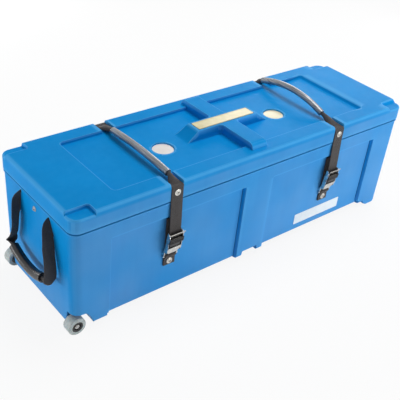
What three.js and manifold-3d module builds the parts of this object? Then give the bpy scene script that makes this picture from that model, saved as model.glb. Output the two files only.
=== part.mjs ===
// Long drum hardware case in moulded polyethylene, with a lift-up lid, two webbing straps with
// carrying tubes and cam buckles, an end handle at each end and two wheels at the left end.
// Millimetres. X runs along the case with the wheels at -X, the buckles face -Y and Z is up.
// The origin is on the floor, in the middle of the whole object's footprint.

import * as THREE from 'three';
import { mergeVertices } from 'three/addons/utils/BufferGeometryUtils.js';
import Module from 'manifold-3d';

const wasm = await Module();
wasm.setup();

// Overall sizes of the case
const CASE_LENGTH = 1290;
const CASE_WIDTH = 396;
const BODY_HEIGHT = 322;
const LID_HEIGHT = 56;
const GROUND_CLEARANCE = 18;
const WALL = 5;
const CORNER_RADIUS = 30;
const WALL_INSET = 2.5;
const BODY_DRAFT = 3;
const BASE_EDGE_RADIUS = 8;
const LID_EDGE_RADIUS = 8;

// Clearances and cuts
const FIT_GAP = 0.3;
const CUT_OVERRUN = 20;
const SINK = 1;

// Seam between body and lid
const RIM_BAND_HEIGHT = 5;
const RIM_BAND_INSET = 0.6;
const TONGUE_HEIGHT = 12;
const TONGUE_WALL = 3.5;
const TONGUE_GAP = 1;

// Raised piers and recessed panels on the two long sides
const PANEL_INNER_X = 58;
const PANEL_END_MARGIN = 123;
const PANEL_HEIGHT = 268;
const PANEL_DEPTH = 12;
const PANEL_DRAFT = 3;

// Stacking groove under the base, wheel pockets and moulded feet
const GROOVE_UNDER_MARGIN = 3;
const STACK_CLEARANCE = 1;
const WHEEL_POCKET_LENGTH = 66;
const WHEEL_POCKET_HEIGHT = 47;
const WHEEL_POCKET_WIDTH = 47;
const WHEEL_POCKET_RADIUS = 32;
const FOOT_LENGTH = 87;
const FOOT_START_ROUND = 22;
const FOOT_END_ROUND = 43;
const FOOT_WIDTH = 28;
const FOOT_EDGE = 3;
const FOOT_SWEEP_HEIGHT = 40;

// Top of the lid
const RECESS_END_MARGIN = 156;
const RECESS_SIDE_MARGIN = 54;
const RECESS_DEPTH = 11;
const RECESS_RADIUS = 12;
const RECESS_DRAFT = 2.5;
const POCKET_LENGTH = 70;
const POCKET_WIDTH = 39;
const POCKET_RADIUS = 7;
const STRAP_GROOVE_WIDTH = 58;
const CROSSBAR_WIDTH = 57;
const CROSSBAR_RISE = 20;
const CROSSBAR_END_MARGIN = 6;
const CROSSBAR_RAMP = 19;
const CROSSBAR_DRAFT = 1.5;
const BAR_EDGE_RADIUS = 3;
const PAD_LENGTH = 232;
const PAD_WIDTH = 54;
const PAD_RAMP = 42;
const PAD_SIDE_DRAFT = 5;
const PLATE_LENGTH = 220;
const PLATE_WIDTH = 42;
const PLATE_THICKNESS = 1.6;
const DISC_RADIUS = 32;
const DISC_THICKNESS = 1.6;
const DISC_DROP = 4;
const LEFT_DISC_X = -237;
const RIGHT_DISC_X = 205;
const DISC_Y = -15;

// White label on the right front panel
const LABEL_LENGTH = 214;
const LABEL_HEIGHT = 39;
const LABEL_THICKNESS = 0.8;
const LABEL_END_MARGIN = 102;
const LABEL_RISE = 46;

// Webbing and the two straps over the lid
const STRAP_X = 322;
const WEBBING_WIDTH = 38;
const WEBBING_THICKNESS = 2.4;
const WEBBING_CORE_RADIUS = 6.3;
const WEBBING_GATHER = 36;
const GATHER_MARGIN = 3;
const LID_RIVET_RISE = 27;
const LID_WEBBING_END_RISE = 12;
const GROOVE_EDGE_RADIUS = 4;
const CARRY_TUBE_RADIUS = 10.5;
const CARRY_TUBE_BORE = 7;
const CARRY_TUBE_END_RISE = 7;
const LEFT_TUBE_FRONT_MARGIN = 45;
const LEFT_TUBE_BACK_MARGIN = 80;
const LEFT_TUBE_ARCH = 7;
const RIGHT_TUBE_FRONT_MARGIN = 83;
const RIGHT_TUBE_BACK_MARGIN = 33;
const RIGHT_TUBE_ARCH = 26;
const HINGE_GAP = 2.2;
const HINGE_RIVET_DROP = 32;
const HINGE_WEBBING_DROP = 46;
const HINGE_BEND_DROP = 10;
const HINGE_FLAT_DROP = 20;

// Rivets
const RIVET_WASHER_RADIUS = 10;
const RIVET_WASHER_THICKNESS = 1.2;
const RIVET_DOME_RADIUS = 5.5;
const RIVET_DOME_HEIGHT = 3;
const RIVET_BORE_RADIUS = 1.6;
const RIVET_SHANK_RADIUS = 3.2;
const RIVET_TAIL_RADIUS = 5;
const RIVET_TAIL_HEIGHT = 2.5;
const END_WASHER_RADIUS = 8;
const AXLE_WASHER_RADIUS = 5;

// Cam buckles
const BUCKLE_ANCHOR_RISE = 128;
const BUCKLE_TILT = THREE.MathUtils.degToRad(9);
const ANCHOR_RIVET_DROP = 22;
const ANCHOR_WEBBING_DROP = 35;
const ANCHOR_BAR_RADIUS = 2.5;
const ANCHOR_BAR_OFFSET = 4.8;
const FRAME_HALF_WIDTH = 24;
const FRAME_PLATE = 1.5;
const EAR_THICKNESS = 1.8;
const FRAME_BOTTOM = 12.5;
const FRAME_TOP = 86;
const EAR_BOTTOM = 20;
const EAR_TOP = 94;
const EAR_DEPTH = 12.5;
const ARM_WIDTH = 2.5;
const ARM_DEPTH = 4;
const LIP_HALF_WIDTH = 26;
const LIP_TOP = 97;
const LIP_BOTTOM = 72;
const LIP_NEAR = 6;
const LIP_FAR = 16;
const SHIELD_BOTTOM = 15;
const SHIELD_TOP = 45;
const SHIELD_BOTTOM_HALF = 15;
const SHIELD_NEAR = 6;
const SHIELD_FAR = 13.5;
const PIN_RISE = 58;
const PIN_RADIUS = 2;
const PIN_HEAD_RADIUS = 3.2;
const PIN_HEAD_THICKNESS = 1.2;
const CAM_RADIUS = 5.4;
const CAM_TOOTH = 0.8;
const CAM_TEETH = 4;
const THUMB_LENGTH = 19;
const THUMB_INNER = 2.4;
const THUMB_OUTER = 6;
const THUMB_HEEL = 8;
const THUMB_WING_START = 2.5;
const THUMB_WING_GAP = 0.5;
const RIB_COUNT = 3;
const RIB_HEIGHT = 1.8;
const SPRING_SPACE = 7;
const SPRING_RADIUS = 3.6;
const SPRING_WIRE = 0.6;
const SPRING_TURNS = 3;
const TAIL_RISE = 260;
const TAIL_STAND_OFF = 2.5;
const TAIL_BEND_UP = 40;
const CAM_TEETH_SPREAD = THREE.MathUtils.degToRad(48);

// End handles: the webbing leaves through a sloping slot on each side of the end wall
const SLOT_TOP_RISE = 307;
const SLOT_TOP_Y = 77;
const SLOT_HEIGHT = 42;
const SLOT_SPREAD = 20;
const SLOT_WIDTH = 5;
const END_RIVET_RISE = 292;
const GRIP_RADIUS = 14;
const GRIP_BORE = 7;
const GRIP_HALF_LENGTH = 84;
const GRIP_RISE = 126;
const GRIP_SAG = 20;
const GRIP_STAND_OFF = 28;
const HANDLE_SPREAD = 119;
const HANDLE_BEND_RISE = 156;
const HANDLE_INSIDE = 8;

// Wheels
const WHEEL_RADIUS = 27;
const WHEEL_WIDTH = 33;
const WHEEL_END_SETBACK = 17;
const WHEEL_SIDE_SETBACK = 5;
const TYRE_EDGE = 4;
const HUB_RADIUS = 16.5;
const HUB_FACE_SETBACK = 1;
const HUB_BORE = 9;
const BEARING_RADIUS = 11;
const BEARING_WIDTH = 7;
const BEARING_RACE = 7;
const BEARING_GROOVE = 0.8;
const BEARING_SETBACK = 6;
const AXLE_RADIUS = 4;
const AXLE_COLLAR_RADIUS = 6;
const AXLE_PLATE_THICKNESS = 3;
const AXLE_PLATE_END_MARGIN = 10;
const AXLE_PLATE_LENGTH = 40;
const AXLE_PLATE_BOTTOM = 15;
const AXLE_PLATE_TOP = 61;
const AXLE_RIVET_SPACING = 27;
const AXLE_RIVET_HEIGHT = 54;
const AXLE_NUT_RADIUS = 7;
const AXLE_NUT_THICKNESS = 4;
const AXLE_TIP = 1.2;

// Steps used on round surfaces
const CORNER_STEPS = 5;
const EDGE_STEPS = 3;
const ROUND_STEPS = 18;
const SMALL_ROUND_STEPS = 12;
const BEND_STEPS = 4;
const CARRY_STEPS = 12;
const CURVE_STEPS = 6;
const WIRE_CURVE_STEPS = 3;
const SPRING_CHECK_STEPS = 24;
const SLIGHT_TURN = THREE.MathUtils.degToRad(2);
const HEXAGON_CORNERS = 6;

// Shares that shape rounded edges and ramps
const EDGE_ROUND_SHARE = 0.6;
const PAD_LEVEL_SHARES = [0, 0.25, 0.5, 0.75, 1];
const PAD_RAMP_CURVE_SHARE = 1.15;
const GATHER_SHARES = [0.2, 0.4, 0.6, 0.8];
const GATHER_LEAD_SHARE = 1.15;
const LOOP_BEND_SHARE = 0.98;
const DOME_SHOULDER_SHARE = 0.5;
const DOME_TOP_SHARE = 0.62;
const EAR_FOOT_SHARE = 0.4;
const TYRE_EDGE_SHARE = 0.3;
const RIB_HALF_SHARE = 0.25;
const SLOT_REACH_SHARES = [0.42, 0.56, 0.7, 0.8, 0.84];
const HANDLE_DROP_SHARE = 0.6;
const HANDLE_SPREAD_SHARES = [0.25, 0.7];
const HANDLE_BEND_NEAR_SHARE = 0.2;

// Places that follow from the sizes above
const halfLength = CASE_LENGTH / 2;
const halfWidth = CASE_WIDTH / 2;
const baseZ = GROUND_CLEARANCE;
const seamZ = baseZ + BODY_HEIGHT;
const borderZ = seamZ + LID_HEIGHT;
const recessZ = borderZ - RECESS_DEPTH;
const barZ = borderZ + CROSSBAR_RISE;
const panelTopZ = baseZ + PANEL_HEIGHT;
const panelOuterX = halfLength - PANEL_END_MARGIN;
const recessHalfX = halfLength - RECESS_END_MARGIN;
const recessHalfY = halfWidth - RECESS_SIDE_MARGIN;
const webbingHalf = WEBBING_THICKNESS / 2;
const webbingLift = FIT_GAP + webbingHalf;
const lidFaceWebbingY = halfWidth + webbingLift;
const lidRivetZ = seamZ + LID_RIVET_RISE;
const rivetHoleRadius = RIVET_SHANK_RADIUS + FIT_GAP;

function bodyInset(z) {
  const share = THREE.MathUtils.clamp((seamZ - z) / BODY_HEIGHT, 0, 1);
  return WALL_INSET + BODY_DRAFT * share;
}

function panelFaceY(z) {
  return halfWidth - bodyInset(z) - PANEL_DEPTH;
}

// Materials, with colours as the case shows them in plain light
function material(color, roughness, metalness) {
  return new THREE.MeshStandardMaterial({ color, roughness, metalness });
}

const materials = {
  shell: material(0x2f8ed8, 0.42, 0),
  webbing: material(0x2b2a2e, 0.85, 0),
  tube: material(0x9fb4c6, 0.25, 0),
  grip: material(0x1b1a1c, 0.35, 0),
  steel: material(0xb9bec4, 0.3, 0.9),
  darkSteel: material(0x3c3d40, 0.45, 0.7),
  tyre: material(0xc4cfcd, 0.55, 0),
  hub: material(0x17181a, 0.5, 0),
  plate: material(0xe6dbb4, 0.35, 0.1),
  disc: material(0xf4f1ee, 0.4, 0),
  label: material(0xeff5f8, 0.5, 0),
};

const model = new THREE.Group();

function addPart(name, geometry, look, parent = model) {
  const mesh = new THREE.Mesh(geometry, look);
  mesh.name = name;
  parent.add(mesh);
  return mesh;
}

// A closed solid from shared points and triangles, turned so that its faces point out
function closedGeometry(points, triangles) {
  let volume = 0;
  for (const [a, b, c] of triangles) {
    volume += points[a].dot(points[b].clone().cross(points[c]));
  }
  const order = volume < 0 ? triangles.map(([a, b, c]) => [a, c, b]) : triangles;
  const geometry = new THREE.BufferGeometry();
  const places = points.flatMap((point) => point.toArray());
  geometry.setAttribute('position', new THREE.Float32BufferAttribute(places, 3));
  geometry.setIndex(order.flat());
  return geometry;
}

// Skins a stack of convex rings that have the same number of points, and caps both ends
function loft(rings) {
  const count = rings[0].length;
  const points = rings.flat();
  const triangles = [];
  for (let level = 0; level + 1 < rings.length; level += 1) {
    for (let i = 0; i < count; i += 1) {
      const a = level * count + i;
      const b = level * count + ((i + 1) % count);
      triangles.push([a, b, b + count], [a, b + count, a + count]);
    }
  }
  const top = (rings.length - 1) * count;
  for (let i = 1; i + 1 < count; i += 1) {
    triangles.push([0, i + 1, i], [top, top + i, top + i + 1]);
  }
  return closedGeometry(points, triangles);
}

function ring(halfX, halfY, radius, z, centreX = 0, centreY = 0) {
  const points = [];
  for (let corner = 0; corner < 4; corner += 1) {
    const signX = corner === 0 || corner === 3 ? 1 : -1;
    const signY = corner < 2 ? 1 : -1;
    for (let step = 0; step <= CORNER_STEPS; step += 1) {
      const angle = ((corner + step / CORNER_STEPS) * Math.PI) / 2;
      const x = signX * (halfX - radius) + radius * Math.cos(angle);
      const y = signY * (halfY - radius) + radius * Math.sin(angle);
      points.push(new THREE.Vector3(centreX + x, centreY + y, z));
    }
  }
  return points;
}

function block(x0, x1, y0, y1, z0, z1) {
  const geometry = new THREE.BoxGeometry(x1 - x0, y1 - y0, z1 - z0);
  return geometry.translate((x0 + x1) / 2, (y0 + y1) / 2, (z0 + z1) / 2);
}

function rod(axis, radius, from, to, u, v, steps = SMALL_ROUND_STEPS) {
  const geometry = new THREE.CylinderGeometry(radius, radius, to - from, steps);
  const middle = (from + to) / 2;
  if (axis === 'x') return geometry.rotateZ(Math.PI / 2).translate(middle, u, v);
  if (axis === 'y') return geometry.translate(u, middle, v);
  return geometry.rotateX(Math.PI / 2).translate(u, v, middle);
}

// A profile in the Y-Z plane, pushed out along X between two places
function extrudeAlongX(shape, x0, x1, curveSegments = CURVE_STEPS) {
  const geometry = new THREE.ExtrudeGeometry(shape, { depth: x1 - x0, bevelEnabled: false, curveSegments });
  const turn = new THREE.Matrix4().makeBasis(
    new THREE.Vector3(0, 1, 0),
    new THREE.Vector3(0, 0, 1),
    new THREE.Vector3(1, 0, 0),
  );
  return geometry.applyMatrix4(turn).translate(x0, 0, 0);
}

// A profile in the X-Z plane, pushed out along Y between two places
function extrudeAlongY(shape, y0, y1, curveSegments = CURVE_STEPS) {
  const geometry = new THREE.ExtrudeGeometry(shape, { depth: y1 - y0, bevelEnabled: false, curveSegments });
  return geometry.rotateX(Math.PI / 2).translate(0, y1, 0);
}

// A profile of radius and distance, revolved about an axis that runs along Y
function revolveAlongY(profile, steps = ROUND_STEPS) {
  return new THREE.LatheGeometry(profile.map(([r, d]) => new THREE.Vector2(r, d)), steps);
}

// Booleans
function toSolid(geometry) {
  const bare = geometry.clone();
  bare.deleteAttribute('normal');
  bare.deleteAttribute('uv');
  const merged = mergeVertices(bare);
  const vertProperties = new Float32Array(merged.attributes.position.array);
  const triVerts = new Uint32Array(merged.index.array);
  return new wasm.Manifold(new wasm.Mesh({ numProp: 3, vertProperties, triVerts }));
}

function toGeometry(solid) {
  const mesh = solid.getMesh();
  const geometry = new THREE.BufferGeometry();
  geometry.setAttribute('position', new THREE.Float32BufferAttribute(mesh.vertProperties, mesh.numProp));
  geometry.setIndex(Array.from(mesh.triVerts));
  return geometry;
}

function joined(geometries) {
  return geometries.map(toSolid).reduce((whole, piece) => whole.add(piece));
}

function cut(solid, geometries) {
  return geometries.map(toSolid).reduce((whole, piece) => whole.subtract(piece), solid);
}

// Case body
function bodyRing(z, extraInset) {
  const inset = bodyInset(z) + extraInset;
  return ring(halfLength - inset, halfWidth - inset, Math.max(CORNER_RADIUS - extraInset, SINK), z);
}

function bodyOuter() {
  const rings = [];
  for (let step = 0; step <= EDGE_STEPS; step += 1) {
    const angle = ((step / EDGE_STEPS) * Math.PI) / 2;
    const z = baseZ + BASE_EDGE_RADIUS * (1 - Math.cos(angle));
    rings.push(bodyRing(z, BASE_EDGE_RADIUS * (1 - Math.sin(angle))));
  }
  rings.push(bodyRing(seamZ - FIT_GAP, 0));
  return loft(rings);
}

function straightRing(inset, z) {
  return ring(halfLength - inset, halfWidth - inset, Math.max(CORNER_RADIUS - inset, SINK), z);
}

function bodyInner() {
  const floorZ = baseZ + WALL;
  const rimInset = WALL + TONGUE_GAP + TONGUE_WALL;
  const shoulderZ = seamZ - RIM_BAND_HEIGHT;
  return loft([
    bodyRing(floorZ, WALL + BASE_EDGE_RADIUS / 2),
    bodyRing(floorZ + BASE_EDGE_RADIUS / 2, WALL),
    bodyRing(shoulderZ - (rimInset - WALL), WALL),
    straightRing(rimInset, shoulderZ),
    straightRing(rimInset, seamZ + TONGUE_HEIGHT + CUT_OVERRUN),
  ]);
}

// The recess of one front or back panel: open below, with sloping sides and top
function panelRecess(side, from, to, grow) {
  const outerY = halfWidth + CUT_OVERRUN;
  const levels = [
    [baseZ - CUT_OVERRUN, PANEL_DEPTH],
    [panelTopZ, PANEL_DEPTH],
    [panelTopZ + PANEL_DRAFT, 0],
  ];
  const rings = levels.map(([z, depth]) => {
    const floorY = halfWidth - bodyInset(z) - depth - grow;
    const slope = (PANEL_DRAFT * (outerY - floorY)) / PANEL_DEPTH;
    return [
      new THREE.Vector3(from - grow, side * floorY, z + grow),
      new THREE.Vector3(to + grow, side * floorY, z + grow),
      new THREE.Vector3(to + grow + slope, side * outerY, z + grow),
      new THREE.Vector3(from - grow - slope, side * outerY, z + grow),
    ];
  });
  return loft(rings);
}

function panelRecesses(grow) {
  const cuts = [];
  for (const side of [-1, 1]) {
    cuts.push(panelRecess(side, -panelOuterX, -PANEL_INNER_X, grow));
    cuts.push(panelRecess(side, PANEL_INNER_X, panelOuterX, grow));
  }
  return cuts;
}

function wheelPocket(side, grow) {
  const innerX = -halfLength + WHEEL_POCKET_LENGTH + grow;
  const topZ = baseZ + WHEEL_POCKET_HEIGHT + grow;
  const radius = WHEEL_POCKET_RADIUS + grow;
  const endX = -halfLength - CUT_OVERRUN;
  const bottomZ = baseZ - CUT_OVERRUN;
  const shape = new THREE.Shape();
  shape.moveTo(endX, -bottomZ);
  shape.lineTo(endX, -topZ);
  shape.lineTo(innerX - radius, -topZ);
  shape.quadraticCurveTo(innerX, -topZ, innerX, -topZ + radius);
  shape.lineTo(innerX, -bottomZ);
  const innerY = halfWidth - WHEEL_POCKET_WIDTH - grow;
  const outerY = halfWidth + CUT_OVERRUN;
  const geometry = new THREE.ExtrudeGeometry(shape, {
    depth: outerY - innerY, bevelEnabled: false, curveSegments: CORNER_STEPS,
  });
  geometry.rotateX(-Math.PI / 2).translate(0, side < 0 ? -outerY : innerY, 0);
  return geometry;
}

function underGroove(grow) {
  const half = CROSSBAR_WIDTH / 2 + GROOVE_UNDER_MARGIN + grow;
  const depth = CROSSBAR_RISE - (GROUND_CLEARANCE - RECESS_DEPTH) + STACK_CLEARANCE + grow;
  const reach = halfWidth + CUT_OVERRUN;
  return block(-half, half, -reach, reach, baseZ - CUT_OVERRUN, baseZ + depth);
}

function foot(side) {
  const outerY = halfWidth - bodyInset(baseZ);
  const startX = halfLength - FOOT_LENGTH;
  const endX = halfLength - bodyInset(baseZ + FOOT_SWEEP_HEIGHT);
  const topZ = baseZ + FOOT_SWEEP_HEIGHT;
  const shape = new THREE.Shape();
  shape.moveTo(startX, topZ);
  shape.lineTo(startX, baseZ);
  shape.quadraticCurveTo(startX, 0, startX + FOOT_START_ROUND, 0);
  shape.lineTo(halfLength - FOOT_END_ROUND, 0);
  shape.bezierCurveTo(endX - FOOT_EDGE, 0, endX, baseZ, endX, topZ);
  const innerY = outerY - FOOT_WIDTH;
  const reachY = outerY + SINK;
  const plan = loft([straightRing(bodyInset(baseZ), -SINK), straightRing(bodyInset(baseZ), topZ + SINK)]);
  const whole = extrudeAlongY(shape, side < 0 ? -reachY : innerY, side < 0 ? -innerY : reachY);
  return toSolid(whole).intersect(toSolid(plan));
}

function rivetHoleY(x, y0, y1, z) {
  return rod('y', rivetHoleRadius, Math.min(y0, y1), Math.max(y0, y1), x, z);
}

const slotTopZ = baseZ + SLOT_TOP_RISE;
const slotBottomZ = slotTopZ - SLOT_HEIGHT;
const endRivetZ = baseZ + END_RIVET_RISE;
const endWallX = halfLength - bodyInset(slotBottomZ);
const anchorRivetZ = baseZ + BUCKLE_ANCHOR_RISE - ANCHOR_RIVET_DROP;
const hingeRivetZ = seamZ - HINGE_RIVET_DROP;
const axleX = -halfLength + WHEEL_END_SETBACK;
const pocketWallY = halfWidth - WHEEL_POCKET_WIDTH;
const axlePlateX = -halfLength + AXLE_PLATE_END_MARGIN;
const axlePlateMiddleX = axlePlateX + AXLE_PLATE_LENGTH / 2;

function slotY(z) {
  return SLOT_TOP_Y + (SLOT_SPREAD * (slotTopZ - z)) / SLOT_HEIGHT;
}

function endSlot(end, side) {
  const rings = [slotBottomZ, slotTopZ].map((z) => {
    const near = side * (slotY(z) - SLOT_WIDTH / 2);
    const far = side * (slotY(z) + SLOT_WIDTH / 2);
    return [
      new THREE.Vector3(end * (halfLength - CUT_OVERRUN), near, z),
      new THREE.Vector3(end * (halfLength - CUT_OVERRUN), far, z),
      new THREE.Vector3(end * (halfLength + CUT_OVERRUN), far, z),
      new THREE.Vector3(end * (halfLength + CUT_OVERRUN), near, z),
    ];
  });
  return loft(rings);
}

function bodyHoles() {
  const holes = [];
  for (const side of [-1, 1]) {
    const x = side * STRAP_X;
    holes.push(rivetHoleY(x, -halfWidth, -halfWidth + CUT_OVERRUN * 2, anchorRivetZ));
    holes.push(rivetHoleY(x, halfWidth - CUT_OVERRUN, halfWidth, hingeRivetZ));
    holes.push(endSlot(side, -1), endSlot(side, 1));
    const endX = side * halfLength;
    holes.push(rod('x', rivetHoleRadius, endX - CUT_OVERRUN, endX + CUT_OVERRUN, 0, endRivetZ));
    for (const along of [-1, 1]) {
      const rivetX = axlePlateMiddleX + (along * AXLE_RIVET_SPACING) / 2;
      const near = side * (pocketWallY - CUT_OVERRUN);
      holes.push(rivetHoleY(rivetX, near, side * (pocketWallY + SINK), AXLE_RIVET_HEIGHT));
    }
  }
  return holes;
}

function caseBody() {
  const bandZ = seamZ - RIM_BAND_HEIGHT;
  const band = loft([straightRing(RIM_BAND_INSET, bandZ), straightRing(RIM_BAND_INSET, seamZ - FIT_GAP)]);
  const tongueInset = WALL + TONGUE_GAP;
  const tongue = loft([
    straightRing(tongueInset, bandZ),
    straightRing(tongueInset, seamZ + TONGUE_HEIGHT - TONGUE_GAP),
    straightRing(tongueInset + TONGUE_GAP, seamZ + TONGUE_HEIGHT),
  ]);
  const skin = cut(joined([bodyOuter()]), [...panelRecesses(0), underGroove(0)]);
  const outside = cut(
    skin.add(joined([band, tongue])).add(foot(-1)).add(foot(1)),
    [wheelPocket(-1, 0), wheelPocket(1, 0)],
  );
  const hollow = cut(
    toSolid(bodyInner()),
    [...panelRecesses(WALL), wheelPocket(-1, WALL), wheelPocket(1, WALL), underGroove(WALL)],
  );
  return cut(outside.subtract(hollow), bodyHoles());
}

addPart('case_body', toGeometry(caseBody()), materials.shell);

// Lid
function lidOuter() {
  const rings = [straightRing(0, seamZ)];
  for (let step = 0; step <= EDGE_STEPS; step += 1) {
    const angle = ((step / EDGE_STEPS) * Math.PI) / 2;
    const z = borderZ - LID_EDGE_RADIUS * (1 - Math.sin(angle));
    rings.push(straightRing(LID_EDGE_RADIUS * (1 - Math.cos(angle)), z));
  }
  return loft(rings);
}

function lidInner() {
  return loft([
    straightRing(WALL, seamZ - CUT_OVERRUN),
    straightRing(WALL, borderZ - LID_EDGE_RADIUS),
    straightRing(WALL + LID_EDGE_RADIUS / 2, borderZ - WALL),
  ]);
}

function lidRecess(grow) {
  const bottomX = recessHalfX - RECESS_DRAFT + grow;
  const bottomY = recessHalfY - RECESS_DRAFT + grow;
  const overShare = (RECESS_DEPTH + CUT_OVERRUN) / RECESS_DEPTH;
  const spread = RECESS_DRAFT * overShare;
  return loft([
    ring(bottomX, bottomY, RECESS_RADIUS + grow, recessZ - grow),
    ring(bottomX + spread, bottomY + spread, RECESS_RADIUS + grow, borderZ + CUT_OVERRUN - grow),
  ]);
}

function strapGroove(side, grow) {
  const half = STRAP_GROOVE_WIDTH / 2 + grow;
  const reach = halfWidth + CUT_OVERRUN;
  const middle = side * STRAP_X;
  return block(middle - half, middle + half, -reach, reach, recessZ - grow, borderZ + CUT_OVERRUN);
}

// Takes the sharp edge off the groove floor where the strap turns down over it
function grooveEdge(side, sideY) {
  const faceY = sideY * halfWidth;
  const innerY = sideY * (halfWidth - GROOVE_EDGE_RADIUS);
  const beyondY = sideY * (halfWidth + SINK);
  const lowZ = recessZ - GROOVE_EDGE_RADIUS;
  const shape = new THREE.Shape();
  shape.moveTo(beyondY, lowZ);
  shape.lineTo(faceY, lowZ);
  shape.quadraticCurveTo(faceY, recessZ, innerY, recessZ);
  shape.lineTo(innerY, recessZ + SINK);
  shape.lineTo(beyondY, recessZ + SINK);
  shape.closePath();
  const half = STRAP_GROOVE_WIDTH / 2;
  return extrudeAlongX(shape, side * STRAP_X - half, side * STRAP_X + half, CORNER_STEPS);
}

function grooveEdges() {
  return [-1, 1].flatMap((side) => [grooveEdge(side, -1), grooveEdge(side, 1)]);
}

function cornerPocket(sideX, sideY, grow) {
  const halfX = (POCKET_LENGTH + CUT_OVERRUN) / 2 + grow;
  const halfY = (POCKET_WIDTH + CUT_OVERRUN) / 2 + grow;
  const centreX = sideX * (halfLength - POCKET_LENGTH - grow + halfX);
  const centreY = sideY * (halfWidth - POCKET_WIDTH - grow + halfY);
  return loft([
    ring(halfX, halfY, POCKET_RADIUS + grow, recessZ - grow, centreX, centreY),
    ring(halfX, halfY, POCKET_RADIUS + grow, borderZ + CUT_OVERRUN, centreX, centreY),
  ]);
}

function cornerPockets(grow) {
  return [-1, 1].flatMap((sideX) => [-1, 1].map((sideY) => cornerPocket(sideX, sideY, grow)));
}

// The crossbar over the width of the lid, with a ramp at each end; shrink gives its hollow
function crossbar(shrink) {
  const topX = CROSSBAR_WIDTH / 2 - shrink;
  const topY = halfWidth - CROSSBAR_END_MARGIN - CROSSBAR_RAMP - shrink;
  const top = barZ - shrink;
  const bottom = recessZ - (shrink > 0 ? WALL + SINK : SINK);
  const edge = BAR_EDGE_RADIUS;
  return loft([
    ring(topX + CROSSBAR_DRAFT, topY + CROSSBAR_RAMP, edge, bottom),
    ring(topX + CROSSBAR_DRAFT, topY + CROSSBAR_RAMP, edge, borderZ - shrink),
    ring(topX, topY, edge, top - edge),
    ring(topX - edge * EDGE_ROUND_SHARE, topY - edge * EDGE_ROUND_SHARE, edge, top),
  ]);
}

// The pad that carries the nameplate, along the lid, with long ramps at its ends
function pad(shrink) {
  const top = barZ - shrink;
  const bottom = recessZ - (shrink > 0 ? WALL + SINK : SINK);
  const rings = [];
  for (const share of PAD_LEVEL_SHARES) {
    const rest = 1 - share;
    const halfX = PAD_LENGTH / 2 - shrink + PAD_RAMP * rest ** PAD_RAMP_CURVE_SHARE;
    const halfY = PAD_WIDTH / 2 - shrink + PAD_SIDE_DRAFT * rest;
    rings.push(ring(halfX, halfY, BAR_EDGE_RADIUS, THREE.MathUtils.lerp(bottom, top - SINK, share)));
  }
  const tipX = PAD_LENGTH / 2 - shrink - BAR_EDGE_RADIUS * EDGE_ROUND_SHARE;
  const tipY = PAD_WIDTH / 2 - shrink - BAR_EDGE_RADIUS * EDGE_ROUND_SHARE;
  rings.push(ring(tipX, tipY, BAR_EDGE_RADIUS, top));
  return loft(rings);
}

function plateSeat() {
  const halfX = PLATE_LENGTH / 2 + FIT_GAP;
  const halfY = PLATE_WIDTH / 2 + FIT_GAP;
  return block(-halfX, halfX, -halfY, halfY, plateSeatZ, barZ + CUT_OVERRUN);
}

const plateSeatZ = barZ - PLATE_THICKNESS - FIT_GAP * 2;
const discTopZ = recessZ - DISC_DROP;
const discSeatZ = discTopZ - DISC_THICKNESS - FIT_GAP;

// The round seat of a disc; grow gives the thicker floor under it
function discSeat(x, grow) {
  const radius = DISC_RADIUS + FIT_GAP + grow;
  return rod('z', radius, discSeatZ - grow, borderZ, x, DISC_Y, ROUND_STEPS * 2);
}

function lidHoles() {
  const holes = [];
  for (const side of [-1, 1]) {
    const x = side * STRAP_X;
    holes.push(rivetHoleY(x, -halfWidth - SINK, -halfWidth + CUT_OVERRUN, lidRivetZ));
    holes.push(rivetHoleY(x, halfWidth - CUT_OVERRUN, halfWidth + SINK, lidRivetZ));
  }
  return holes;
}

function lidShell() {
  const grooves = (grow) => [strapGroove(-1, grow), strapGroove(1, grow)];
  const slab = cut(toSolid(lidOuter()), [lidRecess(0), ...grooves(0), ...cornerPockets(0)]);
  const outside = slab.add(joined([crossbar(0), pad(0)]));
  const steps = [lidRecess(WALL), ...grooves(WALL), ...cornerPockets(WALL)];
  const discFloors = [discSeat(LEFT_DISC_X, WALL), discSeat(RIGHT_DISC_X, WALL)];
  const underside = cut(toSolid(lidInner()), [...steps, ...discFloors]);
  const hollow = underside.add(joined([crossbar(WALL), pad(WALL)]));
  const seats = [plateSeat(), discSeat(LEFT_DISC_X, 0), discSeat(RIGHT_DISC_X, 0)];
  return cut(outside.subtract(hollow), [...seats, ...grooveEdges(), ...lidHoles()]);
}

addPart('lid', toGeometry(lidShell()), materials.shell);

// Plain nameplate and the two discs let into the lid
function nameplate() {
  const halfX = PLATE_LENGTH / 2;
  const halfY = PLATE_WIDTH / 2;
  const bottom = plateSeatZ + FIT_GAP;
  const top = bottom + PLATE_THICKNESS;
  const bevel = PLATE_THICKNESS / 2;
  return loft([
    ring(halfX, halfY, POCKET_RADIUS / 2, bottom),
    ring(halfX, halfY, POCKET_RADIUS / 2, top - bevel),
    ring(halfX - bevel, halfY - bevel, POCKET_RADIUS / 2, top),
  ]);
}

addPart('nameplate', nameplate(), materials.plate);

function disc(x) {
  return rod('z', DISC_RADIUS, discTopZ - DISC_THICKNESS, discTopZ, x, DISC_Y, ROUND_STEPS * 2);
}

addPart('disc_left', disc(LEFT_DISC_X), materials.disc);
addPart('disc_right', disc(RIGHT_DISC_X), materials.disc);

// Blank label, lying on the sloping face of the right front panel
const labelX = panelOuterX - LABEL_END_MARGIN - LABEL_LENGTH / 2;

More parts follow.
